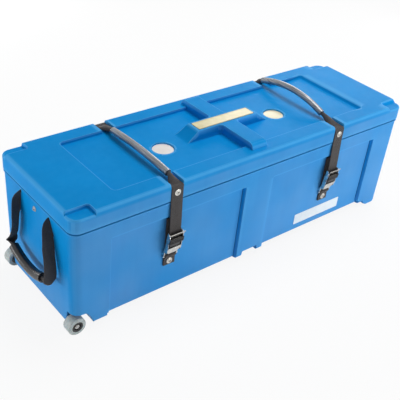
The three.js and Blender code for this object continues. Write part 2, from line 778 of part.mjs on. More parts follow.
function frontLabel() {
  const low = baseZ + LABEL_RISE - LABEL_HEIGHT / 2;
  const high = low + LABEL_HEIGHT;
  const rings = [low, high].map((z) => {
    const back = -panelFaceY(z) - FIT_GAP;
    return [
      new THREE.Vector3(labelX - LABEL_LENGTH / 2, back, z),
      new THREE.Vector3(labelX + LABEL_LENGTH / 2, back, z),
      new THREE.Vector3(labelX + LABEL_LENGTH / 2, back - LABEL_THICKNESS, z),
      new THREE.Vector3(labelX - LABEL_LENGTH / 2, back - LABEL_THICKNESS, z),
    ];
  });
  return loft(rings);
}

addPart('front_label', frontLabel(), materials.label);

// Webbing and cord-like pieces are swept along a path of stations. Each station has a middle, the
// directions of its width and of its thickness, half its width and how far it is gathered to round.
const FLAT_CORNERS = [[0, 1], [-1, 1], [-1, 0], [-1, -1], [0, -1], [1, -1], [1, 0], [1, 1]];

function stationRing({ middle, across, out, half, gather = 0 }) {
  return FLAT_CORNERS.map(([u, v]) => {
    const turn = Math.atan2(v, u);
    const wide = THREE.MathUtils.lerp(u * half, WEBBING_CORE_RADIUS * Math.cos(turn), gather);
    const thick = THREE.MathUtils.lerp(v * webbingHalf, WEBBING_CORE_RADIUS * Math.sin(turn), gather);
    return middle.clone().addScaledVector(across, wide).addScaledVector(out, thick);
  });
}

// Rounds the corners of a path in a plane, so that the webbing bends instead of folding
function roundedPath(corners, radius) {
  const points = [corners[0]];
  for (let i = 1; i + 1 < corners.length; i += 1) {
    const before = corners[i - 1].clone().sub(corners[i]).normalize();
    const after = corners[i + 1].clone().sub(corners[i]).normalize();
    const halfTurn = (Math.PI - before.angleTo(after)) / 2;
    const reach = radius * Math.tan(halfTurn);
    const from = corners[i].clone().addScaledVector(before, reach);
    const to = corners[i].clone().addScaledVector(after, reach);
    if (halfTurn < SLIGHT_TURN) points.push(corners[i]);
    else points.push(...new THREE.QuadraticBezierCurve3(from, corners[i], to).getPoints(BEND_STEPS));
  }
  points.push(corners[corners.length - 1]);
  return points;
}

// Gives each point of a path its station; the width of the webbing stays along one direction
function stationsAlong(points, across, gatherAt = () => 0) {
  return points.map((middle, i) => {
    const before = points[Math.max(i - 1, 0)];
    const after = points[Math.min(i + 1, points.length - 1)];
    const along = after.clone().sub(before).normalize();
    const out = across.clone().cross(along).normalize();
    return { middle, across, out, half: WEBBING_WIDTH / 2, gather: gatherAt(middle) };
  });
}

function sweep(stations) {
  return loft(stations.map(stationRing));
}

const alongX = new THREE.Vector3(1, 0, 0);

function yz(x, y, z) {
  return new THREE.Vector3(x, y, z);
}

// A round bar or hollow tube along a curve
function tubeAlong(curve, radius, bore, steps, curveSegments = CURVE_STEPS) {
  const shape = new THREE.Shape();
  shape.absarc(0, 0, radius, 0, Math.PI * 2);
  if (bore > 0) {
    const hole = new THREE.Path();
    hole.absarc(0, 0, bore, 0, Math.PI * 2, true);
    shape.holes.push(hole);
  }
  return new THREE.ExtrudeGeometry(shape, {
    steps, bevelEnabled: false, extrudePath: curve, curveSegments,
  });
}

// Blind rivet with its washer, along +Y with the seat of the washer at zero
function rivet(grip, washerRadius) {
  const domeTop = RIVET_WASHER_THICKNESS + RIVET_DOME_HEIGHT;
  const domeShoulder = RIVET_WASHER_THICKNESS + RIVET_DOME_HEIGHT * DOME_SHOULDER_SHARE;
  const dome = Math.min(RIVET_DOME_RADIUS, washerRadius - SINK);
  return revolveAlongY([
    [0, -grip - RIVET_TAIL_HEIGHT],
    [RIVET_TAIL_RADIUS, -grip - RIVET_TAIL_HEIGHT],
    [RIVET_TAIL_RADIUS, -grip],
    [RIVET_SHANK_RADIUS, -grip],
    [RIVET_SHANK_RADIUS, 0],
    [washerRadius, 0],
    [washerRadius, RIVET_WASHER_THICKNESS],
    [dome, RIVET_WASHER_THICKNESS],
    [dome, domeShoulder],
    [dome * DOME_TOP_SHARE, domeTop],
    [RIVET_BORE_RADIUS, domeTop],
    [RIVET_BORE_RADIUS, RIVET_WASHER_THICKNESS],
    [0, RIVET_WASHER_THICKNESS],
  ], SMALL_ROUND_STEPS);
}

// A rivet through the front (-1) or back (1) of the case, with its seat at a distance from the middle
function rivetY(x, seat, z, side, grip, washerRadius = RIVET_WASHER_RADIUS) {
  const geometry = rivet(grip, washerRadius);
  if (side < 0) geometry.rotateX(Math.PI);
  return geometry.translate(x, side * seat, z);
}

// Straps over the lid: webbing through a carrying tube, held by a rivet at the front and back
const strapTopZ = recessZ + webbingLift;
const tubeEndZ = recessZ + CARRY_TUBE_END_RISE + CARRY_TUBE_RADIUS;
const lidGrip = WEBBING_THICKNESS + WALL + FIT_GAP * 3;
const strapEndZ = seamZ + LID_WEBBING_END_RISE;

function carryCurve(x, frontY, backY, arch) {
  const middleY = (frontY + backY) / 2;
  return new THREE.QuadraticBezierCurve3(
    yz(x, frontY, tubeEndZ),
    yz(x, middleY, tubeEndZ + arch * 2),
    yz(x, backY, tubeEndZ),
  );
}

function topStrap(x, frontY, backY, arch) {
  const bend = GROOVE_EDGE_RADIUS + webbingLift;
  const floorEnd = halfWidth - GROOVE_EDGE_RADIUS;
  const gatherFront = Math.min(WEBBING_GATHER, floorEnd + frontY);
  const gatherBack = Math.min(WEBBING_GATHER, floorEnd - backY);
  const front = roundedPath([
    yz(x, -lidFaceWebbingY, strapEndZ),
    yz(x, -lidFaceWebbingY, strapTopZ),
    yz(x, frontY - gatherFront, strapTopZ),
  ], bend);
  const back = roundedPath([
    yz(x, backY + gatherBack, strapTopZ),
    yz(x, lidFaceWebbingY, strapTopZ),
    yz(x, lidFaceWebbingY, seamZ + HINGE_GAP),
  ], bend);
  const ramp = (from, to) => GATHER_SHARES.map((share) => {
    const rise = THREE.MathUtils.smoothstep(share, 0, 1);
    return yz(x, THREE.MathUtils.lerp(from.y, to.y, share), THREE.MathUtils.lerp(from.z, to.z, rise));
  });
  const core = carryCurve(x, frontY, backY, arch).getPoints(CARRY_STEPS);
  const points = [
    ...front,
    ...ramp(front[front.length - 1], core[0]),
    ...core,
    ...ramp(back[0], core[core.length - 1]).reverse(),
    ...back,
  ];
  const gatherAt = (p) => {
    const before = 1 - (frontY - GATHER_MARGIN - p.y) / (gatherFront - GATHER_MARGIN);
    const after = 1 - (p.y - backY - GATHER_MARGIN) / (gatherBack - GATHER_MARGIN);
    return THREE.MathUtils.smoothstep(Math.min(before, after), 0, 1);
  };
  const solid = toSolid(sweep(stationsAlong(points, alongX, gatherAt)));
  const reach = halfWidth + CUT_OVERRUN;
  return toGeometry(cut(solid, [
    rod('y', rivetHoleRadius, -reach, -halfWidth, x, lidRivetZ),
    rod('y', rivetHoleRadius, halfWidth, reach, x, lidRivetZ),
  ]));
}

// Webbing from the back of the lid down to the back of the body; the lid hinges on it
const hingeFaceY = halfWidth - bodyInset(hingeRivetZ) + webbingLift;

function hingeStrap(x) {
  const points = roundedPath([
    yz(x, lidFaceWebbingY, seamZ - HINGE_GAP),
    yz(x, lidFaceWebbingY, seamZ - HINGE_BEND_DROP),
    yz(x, hingeFaceY, seamZ - HINGE_FLAT_DROP),
    yz(x, hingeFaceY, seamZ - HINGE_WEBBING_DROP),
  ], GROOVE_EDGE_RADIUS);
  const reach = halfWidth + CUT_OVERRUN;
  const solid = toSolid(sweep(stationsAlong(points, alongX)));
  return toGeometry(cut(solid, [rod('y', rivetHoleRadius, halfWidth / 2, reach, x, hingeRivetZ)]));
}

// Places inside a buckle: along its width, up its plate and out from its plate
const barY = -(panelFaceY(baseZ + BUCKLE_ANCHOR_RISE) + webbingLift + ANCHOR_BAR_OFFSET);
const barRiseZ = baseZ + BUCKLE_ANCHOR_RISE;
const strapOut = FRAME_PLATE / 2 + webbingLift;
const pinOut = strapOut + webbingLift + CAM_RADIUS;

function buckleFrameMatrix(x) {
  const up = new THREE.Vector3(0, -Math.sin(BUCKLE_TILT), Math.cos(BUCKLE_TILT));
  const out = new THREE.Vector3(0, -Math.cos(BUCKLE_TILT), -Math.sin(BUCKLE_TILT));
  return new THREE.Matrix4().makeBasis(alongX, up, out).setPosition(x, barY, barRiseZ);
}

function inBuckle(x, up, out) {
  return new THREE.Vector3(0, up, out).applyMatrix4(buckleFrameMatrix(x));
}

// Front strap: from the lid down through the buckle, round its lower edge and up behind it
function frontStrap(x) {
  const turnUp = FRAME_BOTTOM - webbingLift - FIT_GAP;
  const tailY = -(panelFaceY(baseZ + TAIL_RISE) + webbingLift + TAIL_STAND_OFF);
  const corners = [
    yz(x, -lidFaceWebbingY, strapEndZ - FIT_GAP * 2),
    yz(x, -lidFaceWebbingY, seamZ),
    inBuckle(x, FRAME_TOP + FRAME_PLATE, strapOut),
    inBuckle(x, turnUp, strapOut),
    inBuckle(x, turnUp, -strapOut),
    inBuckle(x, SHIELD_BOTTOM, -strapOut),
    yz(x, tailY, inBuckle(x, TAIL_BEND_UP, 0).z),
    yz(x, tailY, baseZ + TAIL_RISE),
  ];
  return sweep(stationsAlong(roundedPath(corners, strapOut), alongX));
}

// Webbing loop that ties the buckle to the panel, with both of its ends under one rivet
const anchorInnerY = panelFaceY(barRiseZ) + webbingLift;
const anchorOuterY = anchorInnerY + WEBBING_THICKNESS + FIT_GAP;

function anchorWebbing(x) {
  const loopRadius = ANCHOR_BAR_RADIUS + webbingLift;
  const flatTopZ = anchorRivetZ + RIVET_WASHER_RADIUS + FIT_GAP * 2;
  const endZ = barRiseZ - ANCHOR_WEBBING_DROP;
  const corners = [
    yz(x, -anchorInnerY, endZ),
    yz(x, -anchorInnerY, flatTopZ),
    yz(x, barY + loopRadius, barRiseZ - loopRadius / 2),
    yz(x, barY + loopRadius, barRiseZ + loopRadius),
    yz(x, barY - loopRadius, barRiseZ + loopRadius),
    yz(x, barY - loopRadius, barRiseZ - ANCHOR_BAR_RADIUS),
    yz(x, -anchorOuterY, flatTopZ),
    yz(x, -anchorOuterY, endZ),
  ];
  const solid = toSolid(sweep(stationsAlong(roundedPath(corners, loopRadius * LOOP_BEND_SHARE), alongX)));
  return toGeometry(cut(solid, [rod('y', rivetHoleRadius, -halfWidth, -halfWidth / 2, x, anchorRivetZ)]));
}

function buckleFrame() {
  const half = FRAME_HALF_WIDTH;
  const back = -FRAME_PLATE / 2;
  const pieces = [
    block(-half, half, FRAME_BOTTOM, FRAME_TOP, back, -back),
    rod('x', ANCHOR_BAR_RADIUS, -half - SINK, half + SINK, 0, 0),
  ];
  const lip = new THREE.Shape();
  lip.moveTo(LIP_BOTTOM, LIP_NEAR);
  lip.lineTo(LIP_TOP, LIP_FAR);
  lip.lineTo(LIP_TOP + FRAME_PLATE / 2, LIP_FAR - FRAME_PLATE);
  lip.lineTo(LIP_BOTTOM + FRAME_PLATE / 2, LIP_NEAR - FRAME_PLATE);
  lip.closePath();
  pieces.push(extrudeAlongX(lip, -LIP_HALF_WIDTH, LIP_HALF_WIDTH));
  for (const side of [-1, 1]) {
    const ear = new THREE.Shape();
    ear.moveTo(EAR_BOTTOM, back);
    ear.lineTo(EAR_TOP, back);
    ear.lineTo(EAR_TOP, LIP_NEAR);
    ear.lineTo(FRAME_TOP, EAR_DEPTH);
    ear.lineTo(EAR_BOTTOM + EAR_DEPTH, EAR_DEPTH);
    ear.quadraticCurveTo(EAR_BOTTOM, EAR_DEPTH, EAR_BOTTOM, EAR_DEPTH * EAR_FOOT_SHARE);
    ear.closePath();
    const outer = side * half;
    const earInner = side * (half - EAR_THICKNESS);
    const armInner = side * (half - ARM_WIDTH);
    pieces.push(extrudeAlongX(ear, Math.min(outer, earInner), Math.max(outer, earInner)));
    pieces.push(block(
      Math.min(outer, armInner), Math.max(outer, armInner),
      -ARM_DEPTH / 2, EAR_BOTTOM + ARM_DEPTH, -ARM_DEPTH / 2, ARM_DEPTH / 2,
    ));
  }
  const shieldRing = (up, halfWide, out) => [
    new THREE.Vector3(-halfWide, up, out),
    new THREE.Vector3(halfWide, up, out),
    new THREE.Vector3(halfWide, up, out + FRAME_PLATE),
    new THREE.Vector3(-halfWide, up, out + FRAME_PLATE),
  ];
  pieces.push(loft([
    shieldRing(SHIELD_BOTTOM, SHIELD_BOTTOM_HALF, SHIELD_NEAR),
    shieldRing((SHIELD_BOTTOM + SHIELD_TOP) / 2, half - SINK, (SHIELD_NEAR + SHIELD_FAR) / 2),
    shieldRing(SHIELD_TOP, half - SINK, SHIELD_FAR),
  ]));
  const pinHole = rod('x', PIN_RADIUS + FIT_GAP, -half - SINK, half + SINK, PIN_RISE, pinOut);
  return toGeometry(cut(joined(pieces), [pinHole]));
}

function bucklePin() {
  const shank = FRAME_HALF_WIDTH + FIT_GAP;
  const end = shank + PIN_HEAD_THICKNESS;
  return revolveAlongY([
    [0, -end],
    [PIN_HEAD_RADIUS, -end],
    [PIN_HEAD_RADIUS, -shank],
    [PIN_RADIUS, -shank],
    [PIN_RADIUS, shank],
    [PIN_HEAD_RADIUS, shank],
    [PIN_HEAD_RADIUS, end],
    [0, end],
  ], SMALL_ROUND_STEPS).rotateZ(Math.PI / 2).translate(0, PIN_RISE, pinOut);
}

// Sprung lever with the cam teeth that bite the strap and ribs for the thumb
const leverFrom = -(FRAME_HALF_WIDTH - EAR_THICKNESS - FIT_GAP * 3);
const leverTo = -leverFrom - SPRING_SPACE;

function camLever() {
  const cam = CAM_RADIUS - CAM_TOOTH;
  const thumb = new THREE.Shape();
  thumb.moveTo(-THUMB_HEEL, THUMB_INNER);
  thumb.lineTo(-THUMB_HEEL, THUMB_OUTER - SINK);
  thumb.lineTo(-THUMB_HEEL + SINK, THUMB_OUTER);
  thumb.lineTo(THUMB_LENGTH - SINK, THUMB_OUTER);
  thumb.lineTo(THUMB_LENGTH, THUMB_OUTER - SINK);
  thumb.lineTo(THUMB_LENGTH, THUMB_INNER);
  thumb.closePath();
  const barrel = rod('x', cam, leverFrom, leverTo, 0, 0, ROUND_STEPS);
  const wingFrom = EAR_DEPTH + THUMB_WING_GAP - pinOut;
  const wing = FRAME_HALF_WIDTH;
  const pieces = [
    barrel,
    extrudeAlongX(thumb, leverFrom, leverTo),
    block(-wing, wing, THUMB_WING_START, THUMB_LENGTH, wingFrom, THUMB_OUTER),
  ];
  for (let i = 0; i < CAM_TEETH; i += 1) {
    const turn = THREE.MathUtils.lerp(-CAM_TEETH_SPREAD, CAM_TEETH_SPREAD, i / (CAM_TEETH - 1));
    const tooth = block(leverFrom, leverTo, -CAM_TOOTH / 2, CAM_TOOTH / 2, -CAM_RADIUS, -cam + SINK);
    pieces.push(tooth.rotateX(turn));
  }
  const pitch = (THUMB_LENGTH - THUMB_WING_START) / RIB_COUNT;
  const rib = pitch * RIB_HALF_SHARE;
  const ribTop = THUMB_OUTER + RIB_HEIGHT;
  for (let i = 0; i < RIB_COUNT; i += 1) {
    const middle = THUMB_WING_START + pitch * (i + 1 / 2);
    pieces.push(block(-wing, wing, middle - rib, middle + rib, THUMB_OUTER - SINK, ribTop));
  }
  const hole = rod('x', PIN_RADIUS + FIT_GAP, leverFrom - SINK, leverTo + SINK, 0, 0);
  return toGeometry(cut(joined(pieces), [hole])).translate(0, PIN_RISE, pinOut);
}

// Torsion spring round the pin, beside the lever, as one wire
class SpringCurve extends THREE.Curve {
  getPoint(t) {
    const turn = t * SPRING_TURNS * Math.PI * 2;
    const from = leverTo + FIT_GAP + SPRING_WIRE;
    const to = -leverFrom - SPRING_WIRE;
    return new THREE.Vector3(
      THREE.MathUtils.lerp(from, to, t),
      PIN_RISE + SPRING_RADIUS * Math.cos(turn),
      pinOut + SPRING_RADIUS * Math.sin(turn),
    );
  }
}

function springGap() {
  const points = new SpringCurve().getPoints(SPRING_CHECK_STEPS * SPRING_TURNS);
  let least = Infinity;
  points.forEach((p, i) => {
    points.slice(i + SPRING_CHECK_STEPS / 2).forEach((q) => {
      least = Math.min(least, p.distanceTo(q));
    });
  });
  return least - SPRING_WIRE * 2;
}

console.log(`least gap between the spring's turns ${springGap().toFixed(2)} mm`);

function buckleSpring() {
  const steps = SPRING_TURNS * SMALL_ROUND_STEPS;
  return tubeAlong(new SpringCurve(), SPRING_WIRE, 0, steps, WIRE_CURVE_STEPS);
}

const anchorGrip = WEBBING_THICKNESS * 2 + WALL + FIT_GAP * 4;

for (const [name, side, frontY, backY, arch] of [
  ['left', -1, LEFT_TUBE_FRONT_MARGIN - halfWidth, halfWidth - LEFT_TUBE_BACK_MARGIN, LEFT_TUBE_ARCH],
  ['right', 1, RIGHT_TUBE_FRONT_MARGIN - halfWidth, halfWidth - RIGHT_TUBE_BACK_MARGIN, RIGHT_TUBE_ARCH],
]) {
  const x = side * STRAP_X;
  const curve = carryCurve(x, frontY, backY, arch);
  const tube = tubeAlong(curve, CARRY_TUBE_RADIUS, CARRY_TUBE_BORE, CARRY_STEPS);
  addPart(`strap_top_${name}`, topStrap(x, frontY, backY, arch), materials.webbing);
  addPart(`carry_tube_${name}`, tube, materials.tube);
  addPart(`strap_front_${name}`, frontStrap(x), materials.webbing);
  addPart(`strap_hinge_${name}`, hingeStrap(x), materials.webbing);
  addPart(`anchor_webbing_${name}`, anchorWebbing(x), materials.webbing);

  const lidSeat = lidFaceWebbingY + webbingLift;
  addPart(`rivet_lid_front_${name}`, rivetY(x, lidSeat, lidRivetZ, -1, lidGrip), materials.steel);
  addPart(`rivet_lid_back_${name}`, rivetY(x, lidSeat, lidRivetZ, 1, lidGrip), materials.steel);
  const hingeSeat = hingeFaceY + webbingLift;
  addPart(`rivet_hinge_${name}`, rivetY(x, hingeSeat, hingeRivetZ, 1, lidGrip), materials.steel);
  const anchorSeat = anchorOuterY + webbingLift;
  addPart(`rivet_anchor_${name}`, rivetY(x, anchorSeat, anchorRivetZ, -1, anchorGrip), materials.steel);

  const place = buckleFrameMatrix(x);
  addPart(`buckle_frame_${name}`, buckleFrame().applyMatrix4(place), materials.steel);
  addPart(`buckle_pin_${name}`, bucklePin().applyMatrix4(place), materials.steel);
  addPart(`buckle_spring_${name}`, buckleSpring().applyMatrix4(place), materials.darkSteel);
  addPart(`cam_lever_${name}`, camLever().applyMatrix4(place), materials.grip);
}

// End handles
function gripCurve(end) {
  const x = end * (endWallX + GRIP_STAND_OFF);
  const z = baseZ + GRIP_RISE;
  return new THREE.QuadraticBezierCurve3(
    yz(x, -GRIP_HALF_LENGTH, z),
    yz(x, 0, z - GRIP_SAG * 2),
    yz(x, GRIP_HALF_LENGTH, z),
  );
}

// One side of the webbing, from the top of its slot down to the end of the grip: each row gives how
// far it stands out from the wall at its inner and outer edge, its height and how far it has spread
function handleSideStations(end, side) {
  const full = WEBBING_WIDTH;
  const clear = SINK + webbingLift;
  const gripZ = baseZ + GRIP_RISE;
  const bendZ = baseZ + HANDLE_BEND_RISE;
  const dropZ = THREE.MathUtils.lerp(slotBottomZ, bendZ, HANDLE_DROP_SHARE);
  const bendNear = full * HANDLE_BEND_NEAR_SHARE;
  const slotReach = SLOT_REACH_SHARES.map((share) => full * share);
  const [firstSpread, secondSpread] = HANDLE_SPREAD_SHARES;
  const rows = [
    [-HANDLE_INSIDE, slotReach[0], slotTopZ - FIT_GAP, 0],
    [-HANDLE_INSIDE, slotReach[1], slotTopZ - SLOT_WIDTH, 0],
    [-HANDLE_INSIDE, slotReach[2], (slotTopZ + slotBottomZ) / 2, 0],
    [-HANDLE_INSIDE, slotReach[3], slotBottomZ + SINK * 2, 0],
    [clear, slotReach[4], slotBottomZ + FIT_GAP, 0],
    [clear, clear + full, slotBottomZ - full / 2, firstSpread],
    [clear + SINK, clear + SINK + full, dropZ, secondSpread],
    [bendNear, bendNear + full, bendZ, 1],
  ];
  const stations = rows.map(([near, far, z, spread]) => {
    const y = THREE.MathUtils.lerp(slotY(Math.max(z, slotBottomZ)), HANDLE_SPREAD, spread);
    return {
      middle: new THREE.Vector3(end * (endWallX + (near + far) / 2), side * y, z),
      across: new THREE.Vector3(end, 0, 0),
      out: new THREE.Vector3(0, side, 0),
      half: (far - near) / 2,
    };
  });
  const last = stations[stations.length - 1].middle;
  const tip = new THREE.Vector3(end * (endWallX + GRIP_STAND_OFF), side * GRIP_HALF_LENGTH, gripZ);
  const control = new THREE.Vector3((last.x + tip.x) / 2, side * (HANDLE_SPREAD - SINK), gripZ - SINK);
  const bend = new THREE.QuadraticBezierCurve3(last, control, tip);
  for (let i = 1; i <= BEND_STEPS; i += 1) {
    const share = i / BEND_STEPS;
    const along = bend.getTangent(share);
    const across = new THREE.Vector3(end, 0, 0);
    stations.push({
      middle: bend.getPoint(share),
      across,
      out: across.clone().cross(along).normalize().multiplyScalar(side * end),
      half: full / 2,
      gather: THREE.MathUtils.smoothstep(share * GATHER_LEAD_SHARE, 0, 1),
    });
  }
  return stations;
}

function handleWebbing(end) {
  const left = handleSideStations(end, -1);
  const right = handleSideStations(end, 1).reverse();
  const inner = gripCurve(end).getPoints(CARRY_STEPS).slice(1, -1);
  const core = stationsAlong(inner, new THREE.Vector3(end, 0, 0), () => 1);
  core.forEach((station) => station.out.multiplyScalar(-end));
  const hanging = sweep([...left, ...core, ...right]);
  const spanX = end * (endWallX - WALL - webbingLift - SINK);
  const shape = new THREE.Shape();
  shape.moveTo(-slotY(slotBottomZ) - webbingHalf, slotBottomZ + FIT_GAP * 2);
  shape.lineTo(slotY(slotBottomZ) + webbingHalf, slotBottomZ + FIT_GAP * 2);
  shape.lineTo(slotY(slotTopZ) + webbingHalf, slotTopZ - FIT_GAP * 2);
  shape.lineTo(-slotY(slotTopZ) - webbingHalf, slotTopZ - FIT_GAP * 2);
  shape.closePath();
  const span = extrudeAlongX(shape, spanX - webbingHalf, spanX + webbingHalf);
  const hole = rod('x', rivetHoleRadius, spanX - CUT_OVERRUN, spanX + CUT_OVERRUN, 0, endRivetZ);
  return toGeometry(cut(joined([hanging, span]), [hole]));
}

const endGrip = WALL + WEBBING_THICKNESS + SINK + FIT_GAP * 4;

for (const [name, end] of [['left', -1], ['right', 1]]) {
  const geometry = rivet(endGrip, END_WASHER_RADIUS).rotateZ((-end * Math.PI) / 2);
  const seatX = halfLength - bodyInset(endRivetZ) + FIT_GAP;
  const grip = tubeAlong(gripCurve(end), GRIP_RADIUS, GRIP_BORE, CARRY_STEPS);
  addPart(`end_webbing_${name}`, handleWebbing(end), materials.webbing);
  addPart(`end_grip_${name}`, grip, materials.grip);
  addPart(`rivet_end_${name}`, geometry.translate(end * seatX, 0, endRivetZ), materials.steel);
}

// Wheels, each on a stub axle whose plate is riveted to the inner wall of its pocket
const wheelOuterY = halfWidth - WHEEL_SIDE_SETBACK;
const wheelZ = WHEEL_RADIUS;

function wheelPiece(profile, side, steps = ROUND_STEPS) {
  const geometry = revolveAlongY(profile.map(([r, inward]) => [r, -inward]), steps);
  if (side < 0) geometry.rotateX(Math.PI);
  return geometry.translate(axleX, side * wheelOuterY, wheelZ);
}

function tyre(side) {
  const inner = HUB_RADIUS + FIT_GAP;
  return wheelPiece([
    [inner, WHEEL_WIDTH],
    [WHEEL_RADIUS - TYRE_EDGE, WHEEL_WIDTH],
    [WHEEL_RADIUS - TYRE_EDGE * TYRE_EDGE_SHARE, WHEEL_WIDTH - TYRE_EDGE * TYRE_EDGE_SHARE],
    [WHEEL_RADIUS, WHEEL_WIDTH - TYRE_EDGE],
    [WHEEL_RADIUS, TYRE_EDGE],
    [WHEEL_RADIUS - TYRE_EDGE * TYRE_EDGE_SHARE, TYRE_EDGE * TYRE_EDGE_SHARE],
    [WHEEL_RADIUS - TYRE_EDGE, 0],
    [inner, 0],
    [inner, WHEEL_WIDTH],
  ], side, ROUND_STEPS * 2);
}

function hub(side) {
  const seat = BEARING_RADIUS + FIT_GAP;
  const seatEnd = BEARING_SETBACK + BEARING_WIDTH + FIT_GAP;
  const inside = WHEEL_WIDTH - HUB_FACE_SETBACK;
  return wheelPiece([
    [HUB_BORE, inside],
    [HUB_RADIUS, inside],
    [HUB_RADIUS, HUB_FACE_SETBACK],
    [seat, HUB_FACE_SETBACK],
    [seat, seatEnd],
    [HUB_BORE, seatEnd],
    [HUB_BORE, inside],
  ], side);
}

function bearing(side) {
  const from = BEARING_SETBACK;
  const to = from + BEARING_WIDTH;
  const bore = AXLE_RADIUS + FIT_GAP;
  return wheelPiece([
    [bore, to],
    [BEARING_RADIUS, to],
    [BEARING_RADIUS, from],
    [BEARING_RADIUS - SINK, from],
    [BEARING_RADIUS - SINK, from + BEARING_GROOVE],
    [BEARING_RACE, from + BEARING_GROOVE],
    [BEARING_RACE, from],
    [bore, from],
    [bore, to],
  ], side);
}

function axle(side) {
  const plateInner = pocketWallY + FIT_GAP;
  const plateOuter = plateInner + AXLE_PLATE_THICKNESS;
  const collarEnd = wheelOuterY - BEARING_SETBACK - BEARING_WIDTH - FIT_GAP;
  const axleEnd = wheelOuterY - BEARING_SETBACK + FIT_GAP + AXLE_NUT_THICKNESS + AXLE_TIP;
  const span = (from, to) => [Math.min(side * from, side * to), Math.max(side * from, side * to)];
  const plateEndX = axlePlateX + AXLE_PLATE_LENGTH;
  const plateSpan = span(plateInner, plateOuter);
  const plate = block(axlePlateX, plateEndX, ...plateSpan, AXLE_PLATE_BOTTOM, AXLE_PLATE_TOP);
  const collarSpan = span(plateInner + SINK, collarEnd);
  const shaftSpan = span(plateInner + SINK, axleEnd);
  const collar = rod('y', AXLE_COLLAR_RADIUS, ...collarSpan, axleX, wheelZ, ROUND_STEPS);
  const shaft = rod('y', AXLE_RADIUS, ...shaftSpan, axleX, wheelZ, ROUND_STEPS);
  const holes = [-1, 1].map((along) => {
    const x = axlePlateMiddleX + (along * AXLE_RIVET_SPACING) / 2;
    return rod('y', rivetHoleRadius, ...span(pocketWallY - SINK, plateOuter + SINK), x, AXLE_RIVET_HEIGHT);
  });
  return toGeometry(cut(joined([plate, collar, shaft]), holes));
}

function axleNut(side) {
  const from = wheelOuterY - BEARING_SETBACK + FIT_GAP;
  const to = from + AXLE_NUT_THICKNESS;
  const shape = new THREE.Shape();
  for (let i = 0; i < HEXAGON_CORNERS; i += 1) {
    const angle = (i / HEXAGON_CORNERS) * Math.PI * 2;
    const x = AXLE_NUT_RADIUS * Math.cos(angle);
    const z = AXLE_NUT_RADIUS * Math.sin(angle);
    if (i === 0) shape.moveTo(x, z);
    else shape.lineTo(x, z);
  }
  shape.closePath();
  const hole = new THREE.Path();
  hole.absarc(0, 0, AXLE_RADIUS + FIT_GAP, 0, Math.PI * 2, true);
  shape.holes.push(hole);
  return extrudeAlongY(shape, Math.min(side * from, side * to), Math.max(side * from, side * to))
    .translate(axleX, 0, wheelZ);
}

const axleGrip = WALL + AXLE_PLATE_THICKNESS + FIT_GAP * 3;

for (const [name, side] of [['front', -1], ['back', 1]]) {
  addPart(`wheel_tyre_${name}`, tyre(side), materials.tyre);
  addPart(`wheel_hub_${name}`, hub(side), materials.hub);
  addPart(`wheel_bearing_${name}`, bearing(side), materials.darkSteel);
  addPart(`axle_${name}`, axle(side), materials.steel);
  addPart(`axle_nut_${name}`, axleNut(side), materials.steel);
  const seat = pocketWallY + FIT_GAP * 2 + AXLE_PLATE_THICKNESS;
  for (const [end, along] of [['outer', -1], ['inner', 1]]) {
    const x = axlePlateMiddleX + (along * AXLE_RIVET_SPACING) / 2;
    const geometry = rivetY(x, seat, AXLE_RIVET_HEIGHT, side, axleGrip, AXLE_WASHER_RADIUS);
    addPart(`rivet_axle_${name}_${end}`, geometry, materials.steel);
  }
}

// The origin goes to the middle of the footprint
model.updateMatrixWorld(true);
const bounds = new THREE.Box3().setFromObject(model);
const shiftY = -(bounds.min.y + bounds.max.y) / 2;
model.children.forEach((part) => part.geometry.translate(0, shiftY, 0));
console.log(`shift across the case ${shiftY.toFixed(4)} mm`);
console.log(`buckle bar at ${barY.toFixed(4)}, pin out from it ${pinOut.toFixed(4)}`);

export default model;
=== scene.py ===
import math

import bmesh
import bpy
import numpy as np
from mathutils import Matrix, Vector


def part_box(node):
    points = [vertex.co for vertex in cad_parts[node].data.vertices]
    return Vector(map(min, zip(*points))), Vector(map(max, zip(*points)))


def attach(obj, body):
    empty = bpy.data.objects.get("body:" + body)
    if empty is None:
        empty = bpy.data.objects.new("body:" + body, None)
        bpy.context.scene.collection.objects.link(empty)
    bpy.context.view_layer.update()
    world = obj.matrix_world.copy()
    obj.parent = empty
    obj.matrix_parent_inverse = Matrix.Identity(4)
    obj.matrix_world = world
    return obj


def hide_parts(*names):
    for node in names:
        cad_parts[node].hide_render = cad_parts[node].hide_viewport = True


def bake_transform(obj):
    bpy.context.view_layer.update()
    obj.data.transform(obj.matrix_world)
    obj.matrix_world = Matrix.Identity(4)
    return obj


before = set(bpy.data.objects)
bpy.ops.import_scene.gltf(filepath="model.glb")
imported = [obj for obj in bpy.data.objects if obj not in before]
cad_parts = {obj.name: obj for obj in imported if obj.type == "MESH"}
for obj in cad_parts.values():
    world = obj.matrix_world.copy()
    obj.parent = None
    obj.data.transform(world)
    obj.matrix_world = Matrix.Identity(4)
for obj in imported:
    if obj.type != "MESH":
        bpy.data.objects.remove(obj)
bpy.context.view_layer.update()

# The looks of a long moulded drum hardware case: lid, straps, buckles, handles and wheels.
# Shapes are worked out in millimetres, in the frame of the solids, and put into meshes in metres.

MM = 0.001
X, Y, Z = 0, 1, 2
CENTRE_Y = sum(corner[Y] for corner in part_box("lid")) / 2


def ends_of(node, axis):
    """A node's lowest and highest place along an axis, in millimetres from the middle of the lid."""
    shift = CENTRE_Y if axis == Y else 0
    return [round((corner[axis] - shift) / MM, 2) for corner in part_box(node)]


def middle_of(node, axis):
    """The middle of a node along an axis."""
    return sum(ends_of(node, axis)) / 2


